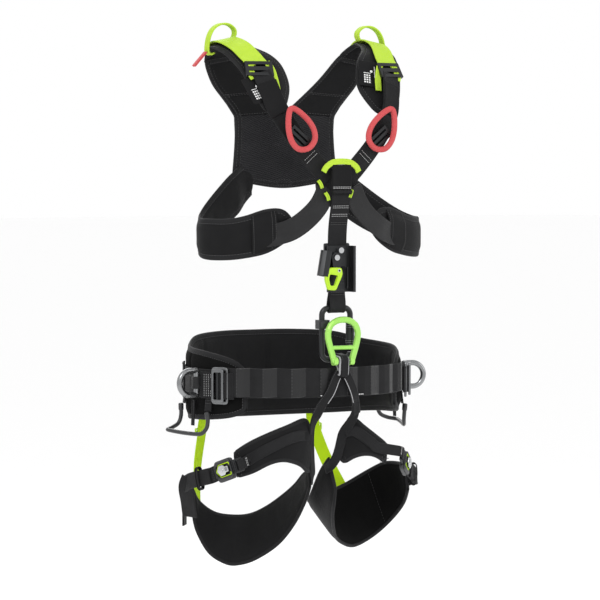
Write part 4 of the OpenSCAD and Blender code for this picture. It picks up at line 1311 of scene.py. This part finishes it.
def make_leg_loops():
    for side in SIDES:
        body, place = "leg_loop_" + side, buckle_place(side)
        front = Pad(FRONT_TOP[side], FRONT_BOTTOM[side], PAD_T - 2, 70, 26, rim=5)
        sign = pad_sign(front)
        foam = front.build("front_foam", M["smooth"], puff=1.5, seed=11.0)
        piece = bound_pad("leg_front_pad_" + side, body, front, foam, width=5, inset=9)
        rear = Pad(REAR_TOP[side], REAR_BOTTOM[side], PAD_T - 2, 120, 26, rim=4)
        foam = rear.build("rear_foam", M["lining"], puff=1.5, wrinkle=0.3, seed=13.0)
        paint_outside(foam, rear, M["smooth"])
        tape = binding("rear_tape", rear, M["binding"], width=4)
        seams = []
        for s in REAR_SEAMS[side]:
            at, out, half = rear.at(rear.length * s, np.linspace(0.05, 0.95, 30))
            for face in (1, -1):
                line = at + face * out * (half[:, None] + 0.02)
                seams.append(stitches("rear_seam", line, out * face, M["dark_thread"], size=0.25))
        piece = join("leg_rear_pad_" + side + "_cloth", [foam, tape] + seams)
        finish(piece, body, "pad_cloth", "leg_rear_pad_" + side)
        make_leg_buckle(side)
        make_leg_straps(side, front, sign, place)
        make_elastic(side)


def make_leg_straps(side, front, sign, place):
    body = "leg_loop_" + side
    start = [place.row(-6, 0, 0), place.row(-15, 0, 0)]
    pieces = [strap("leg_run", start + LEG_WEB[side], WIDTH["leg"], M["web"], step=2.5)]
    # The doubled end of the webbing, folded back beside the buckle and held by a keeper
    rows = [(np.array(p) + np.array(f) * 2.8, f) for p, f in LEG_WEB[side][:4]]
    pieces.append(strap("leg_tail", rows, WIDTH["leg"], M["web"], step=2.5))
    middle = np.array(LEG_WEB[side][1][0], float) + np.array(LEG_WEB[side][1][1]) * 1.4
    face = unit(np.array(LEG_WEB[side][1][1], float))
    go = unit(np.array(LEG_WEB[side][2][0], float) - np.array(LEG_WEB[side][0][0]))
    across = unit(np.cross(face, go))
    keeper = Place(middle, go, across, face)
    band = keeper(np.column_stack([np.zeros(4), [-14.2, 14.2, 14.2, -14.2], [4.2, 4.2, -4.2, -4.2]]))
    band = curve(band, 48, closed=True)
    out = unit(band - keeper.at - ((band - keeper.at) @ keeper.x)[:, None] * keeper.x)
    pieces.append(band_loop("leg_keeper", band, out, keeper.x, 9.0, 1.6, M["smooth"]))
    for x in (-22, -24.4):
        pieces.append(sewn_row("leg_row", place, (x, -10, 1.5), (x, 10, 1.5), M["dark_thread"], *ROW["leg"]))
    if side == "r":
        rows = [((-194, -14, -156), (-0.6, -0.8, 0.2)), ((-194, -4, -172), (-0.6, -0.8, 0.1)),
                ((-183, 12, -198), (-0.7, -0.7, 0.1)), ((-173, 26, -222), (-0.7, -0.7, 0))]
        pieces.append(strap("leg_fold", rows, WIDTH["leg"], M["web"], step=2.5))
    if side == "l":
        rows = [((203, -16, -177), (1, 0, 0)), ((201, 2, -186), (1, 0.1, 0)), ((196, 12, -203), (0.9, 0.3, 0)),
                ((194, 15, -222), (0.9, 0.4, 0))]
        pieces.append(strap("leg_end", rows, 22, M["web"], step=2.5))
    finish(join("leg_web_" + side + "_strap", pieces), body, "black_webbing", "leg_web_" + side)
    # Webbing from the riser across the front pad, folded round the tongue's outer bar
    length = front.length
    track = [(16, 0.22), (length * 0.35, 0.34), (length * 0.6, 0.46), (length - 24, 0.55)]
    rows = over_pad(front, track, 1.6, sign)
    fold = [place.row(44, 0, 1.5), place.row(36, 0, 3.6), place.row(31, 0, 3.2),
            (place([(27.5, 0, 0.5)])[0], place.z * 0.6 - place.x)]
    front_run = strap("front_run", rows + fold, WIDTH["front_run"], M["web"], step=2.0)
    pieces = [front_run]
    for x in (46.0, 48.0):
        pieces.append(sewn_row("front_tack", place, (x, -7, 3.6), (x, 7, 3.6), M["thread"], *ROW["front"]))
    front_run = join("leg_front_run_" + side, pieces)
    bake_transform(front_run)
    inner = strap("leg_inner_" + side, INNER[side], WIDTH["riser"], M["web"], step=2.5)
    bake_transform(inner)


def band_loop(name, points, outs, along, width, thick, material):
    """A closed band of webbing round something; along is its width direction."""
    shape = flat_section(width, thick, 0.2)
    rings = points[:, None] + np.asarray(along) * shape[None, :, :1] + outs[:, None] * shape[None, :, 1:]
    return loft(name, rings, material, closed=True, uv=lengths(rings, shape[:, 0]))


def make_elastic(side):
    """Bright elastic from the belt to the rear pad, with a doubled end and a small clip."""
    rows = sided(ELASTIC, side)
    pieces = [strap("elastic_run", rows, WIDTH["elastic"], M["lime"], thick=2.0)]
    doubled = [(p + f * 2.1, f) for p, f in rows[:2]]
    pieces.append(strap("elastic_end", doubled, WIDTH["elastic"], M["lime"], thick=2.0))
    at, face = rows[1][0] + rows[1][1] * 1.6, unit(rows[1][1])
    place = Place(at, np.cross(face, UP), UP, face)
    pieces.append(plate("elastic_clip", [rectangle(27, 13, 3), rectangle(21, 3, 1, 0, 3),
                                         rectangle(21, 3, 1, 0, -3)], 2.6,
                        place.moved(z=1.8), M["catch"], 0.8))
    pieces.append(sewn_row("elastic_row", place, (-8, -16, -0.4), (8, -16, -0.4), M["catch"], *ROW["elastic"]))
    elastic = join("rear_elastic_" + side + "_strap", pieces)
    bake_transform(elastic)
    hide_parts("rear_elastic_" + side)


# ---- Tie-in loop, clamp and connector ----

def make_tie_in():
    """Doubled webbing round the ring's pin with its grey liners, and the risers' light edging."""
    pieces = []
    profile = rounded([(-170, 35), (-166, 39.5), (-146, 41.4), (-137.6, 33), (-143, 26), (-157.6, 21.8),
                       (-159, 9), (-164, 7), (-168, 9.5)], 3.5, 6)
    loop = curve(np.column_stack([np.zeros(len(profile)), profile]), 90, closed=True)
    out = np.cross(slope(loop, True), (1, 0, 0))
    if np.sum(out * (loop - loop.mean(0))) < 0:
        out = -out
    pieces.append(band_loop("tie_in_outer", loop, out, np.array([1, 0, 0]), 13.0, 2.4, M["web"]))
    pieces.append(band_loop("tie_in_inner", loop - out * 2.0, out, np.array([1, 0, 0]), 17.4, 1.8, M["grey"]))
    for x in (-4.6, 4.6):
        line = loop[:60] + (x, 0, 0) + out[:60] * 1.3
        pieces.append(stitches("tie_in_row", line, out[:60], M["dark_thread"], *ROW["fine"]))
    for z in (14.0, 17.0):
        line = np.linspace((-5, -167.4, z), (5, -167.4, z), 8)
        pieces.append(stitches("tie_in_tack", line, np.tile(FRONT, (8, 1)), M["dark_thread"], *ROW["tack"]))
    for side in SIDES:
        rows = sided(RISER, side)
        pieces.append(strap("riser", rows, WIDTH["riser"], M["web"], step=2))
        points = curve(control(rows), 60)
        across, out = frames(points[:, :3], unit(points[:, 3:]))
        inward = 1.0 if np.sum(across[:, 0]) * SIDES[side] > 0 else -1.0
        edge = points[:, :3] + across * inward * 6.4 + out * 1.5
        pieces.append(tube("riser_edging", edge[6:40], 1.3, M["grey"], (0, 1, 0), sides=8))
        edge = points[:, :3] + across * inward * -6.4 + out * 1.4
        pieces.append(stitches("riser_row", edge, out, M["dark_thread"], *ROW["fine"]))
    finish(join("tie_in_loop_webbing", pieces), "harness", "black_webbing", "tie_in_loop")


def make_lower_strap():
    """Strap folded round the connector's top bar and sewn back on itself."""
    y, z = -146.0, 113.0
    a = np.radians(np.linspace(-100, 100, 13))
    bend = [(y + 6.4 * math.sin(t), z - 6.4 * math.cos(t)) for t in a]
    path = ([(-149.6, 178), (-149.4, 160), (-149.2, 138), (-151.5, 124)] + bend
            + [(-142.6, 126), (-145.6, 138), (-146.2, 160)])
    points = curve([(-3, p, q) for p, q in path], 60)
    go = slope(points)
    faces = np.cross(go, (1, 0, 0))
    if faces[0] @ FRONT < 0:
        faces = -faces
    pieces = [strap("lower_run", list(zip(points, faces)), 28, M["web"], step=1.5)]
    for h in (134, 137.5, 141, 152, 155.5):
        line = np.linspace((-15, -150.9, h), (9, -150.9, h), 14)
        pieces.append(stitches("lower_tack", line, np.tile(FRONT, (14, 1)), M["dark_thread"], *ROW["tack"]))
    finish(join("lower_strap_web", pieces), "harness", "black_webbing", "lower_strap")


def make_clamp_trim():
    """Bare alloy on the rope channel's outer face; a rib, a lining plate and washers on the clamp."""
    lean = math.radians(CHANNEL_LEAN)
    along = np.array([math.sin(lean), 0, math.cos(lean)])
    across = np.array([math.cos(lean), 0, -math.sin(lean)])
    base = np.array(CHANNEL_AT, float)
    rings = []
    for h in np.linspace(3.4, 42.6, 10):
        arc = np.radians(np.linspace(172, 236, 16))
        out = np.cos(arc)[:, None] * across + np.sin(arc)[:, None] * np.array([0, 1, 0])
        centre = base + along * h
        rings.append(np.vstack([centre + out * CHANNEL_R, (centre + out * (CHANNEL_R - 0.55))[::-1]]))
    channel = loft("channel_face", rings, M["dull_alloy"])
    weld(channel)
    finish(channel, "harness", "grey_alloy")
    pieces = []
    place = facing_front((4, -153.4, 160))
    pieces.append(plate("clamp_rib", [rectangle(3, 34, 1.4, 10, 0)], 1.2, place, M["dark_alloy"], 0.5))
    pieces.append(plate("clamp_plate", [rectangle(40, 70, 3, -3, 13), disc(3.2, -3, 43), disc(3.2, -13, 32)],
                        0.8, place.moved(z=-3.1), M["dark_alloy"], 0.3))
    for x, z in ((1, 203), (-9, 192)):
        pieces.append(turned("rivet_washer", [(4.6, 0), (4.6, 0.5), (4.0, 0.9), (3.2, 0.9)],
                             facing_front((x, -150.2, z)), M["dark_alloy"], 28))
    finish(join("clamp_trim", pieces), "harness", "dark_alloy")


def make_catch():
    """The clamp's bright safety catch, a rounded triangle with a wide hole."""
    place = facing_front((-8, -162.5, 172))
    outline = rounded([(-23, 0), (-14, 5), (5, 4.5), (7, -6), (-5, -31), (-19, -30), (-24, -14)], 4.0)
    hole = rounded([(-16.5, -5.5), (-1.5, -7.5), (-7.5, -23.5), (-15.5, -23.5), (-18, -13)], 2.5)
    ring = plate("catch_plate", [outline, hole], 6.0, place, M["catch"], 1.6)
    rim = plate("catch_rim", [rounded([(-19, -3.5), (0.5, -6), (-6.5, -26), (-17, -26), (-20.5, -14)], 3.0),
                              hole], 0.9,
                place.moved(z=3.1), M["catch"], 0.3)
    pin = turned("catch_pin", [(2.6, 2.6), (2.6, 3.6), (1.9, 4.1), (0.2, 4.3)], place, M["steel"], 24)
    finish(join("clamp_catch_plate", [ring, rim, pin]), "catch", "bright_plastic", "clamp_catch")


def make_connector_trim():
    """A raised panel on the connector's retainer, and the grip bands on its sleeve."""
    place = facing_front((-28, -154.2, 88))
    rim = plate("retainer_rib", [rectangle(14, 10, 2)], 1.4, place, M["dark_plastic"], 0.6)
    finish(rim, "harness", "dark_plastic")
    rings = []
    for z in (58.5, 61.5, 82.5, 85.5):
        rings.append(turned("sleeve_band", [(6.6, -0.5), (7.15, -0.25), (7.15, 0.25), (6.6, 0.5)],
                            Place((22, -146, z), (1, 0, 0), (0, 1, 0), UP), M["alloy"], 40))
    finish(join("sleeve_bands", rings), "sleeve", "dark_alloy")


# ---- Chest details ----

def tack(name, middle, across, out, width, material, size=0.7):
    """One short bar of thread across a strap."""
    points = np.array([np.asarray(middle) + unit(across) * x for x in np.linspace(-width / 2, width / 2, 10)])
    return stitches(name, points, np.tile(unit(out), (10, 1)), material, 2.6, 0.4, size)


def make_chest_details():
    for side in SIDES:
        pieces = []
        rows = curve(control(sided(FRONT_STRAP, side)), 100)
        points, faces = rows[:, :3], unit(rows[:, 3:])
        across, out = frames(points, faces)
        for i in (70, 79, 82):
            pieces.append(tack("front_tack", points[i] + out[i] * 1.6, across[i], out[i], 24, M["thread"],
                               0.5))
        # Strap end folded over the front strap under the chest loop
        over = [(points[i] + out[i] * (2.9 if i > 44 else 2.0), faces[i]) for i in (40, 45, 52, 60, 67)]
        pieces.append(strap("front_end", over, 30, M["smooth"], thick=2.0, step=2))
        # Wide sleeve over the upper part of the strap
        over = [(points[i] + out[i] * 2.6, faces[i]) for i in (10, 16, 24, 32, 38)]
        pieces.append(strap("front_sleeve", over, 33, M["smooth"], thick=1.8, step=2))
        finish(join("front_strap_trim_" + side, pieces), "harness", "black_webbing")
        # Bright tail beside the strap
        rows = [((-101, -101, 495), (-0.1, -0.9, 0.4)), ((-95, -107, 483), (-0.1, -0.9, 0.4)),
                ((-91.5, -111, 468), (0, -0.95, 0.3)), ((-90, -116, 452), (0, -1, 0.2))]
        tail = [strap("bright_tail", sided(rows, side), 11, M["neon"], thick=2.0, step=2)]
        rows = [((-129, -98, 489), (-0.1, -0.9, 0.4)), ((-130, -105, 477), (-0.1, -0.9, 0.4)),
                ((-127, -109, 469), (-0.1, -0.9, 0.4))]
        tail.append(strap("bright_corner", sided(rows, side), 13, M["neon"], thick=2.0, step=2))
        finish(join("bright_tails_" + side, tail), "harness", "bright_webbing")
    make_underarm_sleeves()
    make_centre()


def make_underarm_sleeves():
    """Cloth sleeves on the underarm pads that the lower straps come out of."""
    for side in SIDES:
        pad = underarm_panel(side)
        sign = pad_sign_out(pad)
        s = np.linspace(26, 66, 16)
        w = np.linspace(0.04, 0.96, 18)
        grid, outs = [], []
        for a in s:
            at, out, half = pad.at(np.full(len(w), a), w)
            hump = np.exp(-(((w - 0.5) / 0.36) ** 4)) * 4.6 + 0.9
            grid.append(at + sign * out * (half + hump)[:, None])
            outs.append(sign * out)
        grid, outs = np.array(grid), np.array(outs)
        rings = np.concatenate([grid, (grid - outs * 1.2)[:, ::-1]], 1)
        size = np.stack([np.repeat(s, 2 * len(w)), np.tile(np.concatenate([w, w[::-1]]) * 60, len(s))], 1)
        pieces = [loft("underarm_sleeve", rings, M["smooth"], uv=size)]
        for k in (1, 3, 14):
            pieces.append(stitches("sleeve_row", grid[k] + outs[k] * 0.15, outs[k], M["dark_thread"],
                                   *ROW["sleeve"]))
        finish(join("underarm_sleeve_" + side, pieces), "harness", "pad_cloth")


def pad_sign_out(pad):
    """1 if the pad's own normals look away from the chest's middle, -1 otherwise."""
    away = pad.surface - np.array([0, CHEST[2], 0])
    return 1.0 if np.sum(pad.out[..., :2] * away[..., :2]) > 0 else -1.0


def make_centre():
    """Where the chest straps meet: a dark block, a sewn bar, bright loop ends and bar tacks."""
    pieces = [strap("centre_block", to_front([(0, -158.6, 336), (0, -159.4, 320), (0, -159.2, 303),
                                              (0, -159.6, 290)]), 34, M["smooth"], thick=2.0, step=2)]
    for z, y in ((301.5, -160.8), (299.5, -160.8)):
        pieces.append(tack("centre_row", (0, y, z), (1, 0, 0), FRONT, 32, M["thread"], 0.6))
    roll = np.linspace((-17, -160.2, 294), (17, -160.2, 294), 12)
    pieces.append(tube("centre_roll", roll, 6.0, M["web"], (0, 0, 1), sides=16, squash=0.8))
    for z, y in ((272, -156.2), (269, -155.6), (259, -152.2), (256, -151.4)):
        pieces.append(tack("sternum_row", (0, y, z), (1, 0, 0), FRONT, 28, M["thread"], 0.5))
    for z, y in ((246, -149.1), (243, -148.6)):
        pieces.append(tack("sternum_row", (0, y, z), (1, 0, 0), FRONT, 28, M["dark_thread"], 0.5))
    finish(join("centre_webbing", pieces), "harness", "black_webbing")
    ends = []
    for x, z, lean in ((-36, 306, 0.7), (-24, 287, 0.6), (17.5, 291, -0.5)):
        rows = to_front([(x - 5 * lean, -155.5, z + 6), (x, -157.6, z), (x + 4 * lean, -156.4, z - 6)])
        ends.append(strap("bright_end", rows, 6, M["neon"], thick=2.2, step=1.5))
    finish(join("bright_ends", ends), "harness", "bright_webbing")


# ---- CAD nodes that are shown as they are ----

CAD_LOOKS = {
    "alloy": ["side_ring_r", "side_ring_l", "ring_pin"],
    "steel": ["clamp_rivets", "connector_gate"],
    "dark_alloy": ["clamp_cam", "clamp_bracket", "clamp_shell", "connector", "connector_sleeve",
                   "shoulder_buckle_r", "shoulder_buckle_l", "chest_adjuster_r", "chest_adjuster_l"],
    "dark_plastic": ["connector_retainer"],
    "mint": ["ventral_ring"],
    "coral": ["pull_tab"],
}


def dress_cad():
    for look, names in CAD_LOOKS.items():
        for name in names:
            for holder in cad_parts[name].material_slots:
                holder.material = M[look]


make_belt_pad()
make_belt_webbing()
make_front_band()
make_belt_buckles()
make_side_keepers()
make_gear_loops()
make_belt_tabs()
make_yoke()
make_shoulders()
make_underarms()
make_chest_straps()
make_chest_details()
make_leg_loops()
make_tie_in()
make_lower_strap()
make_clamp_trim()
make_connector_trim()
make_catch()
dress_cad()
stage()
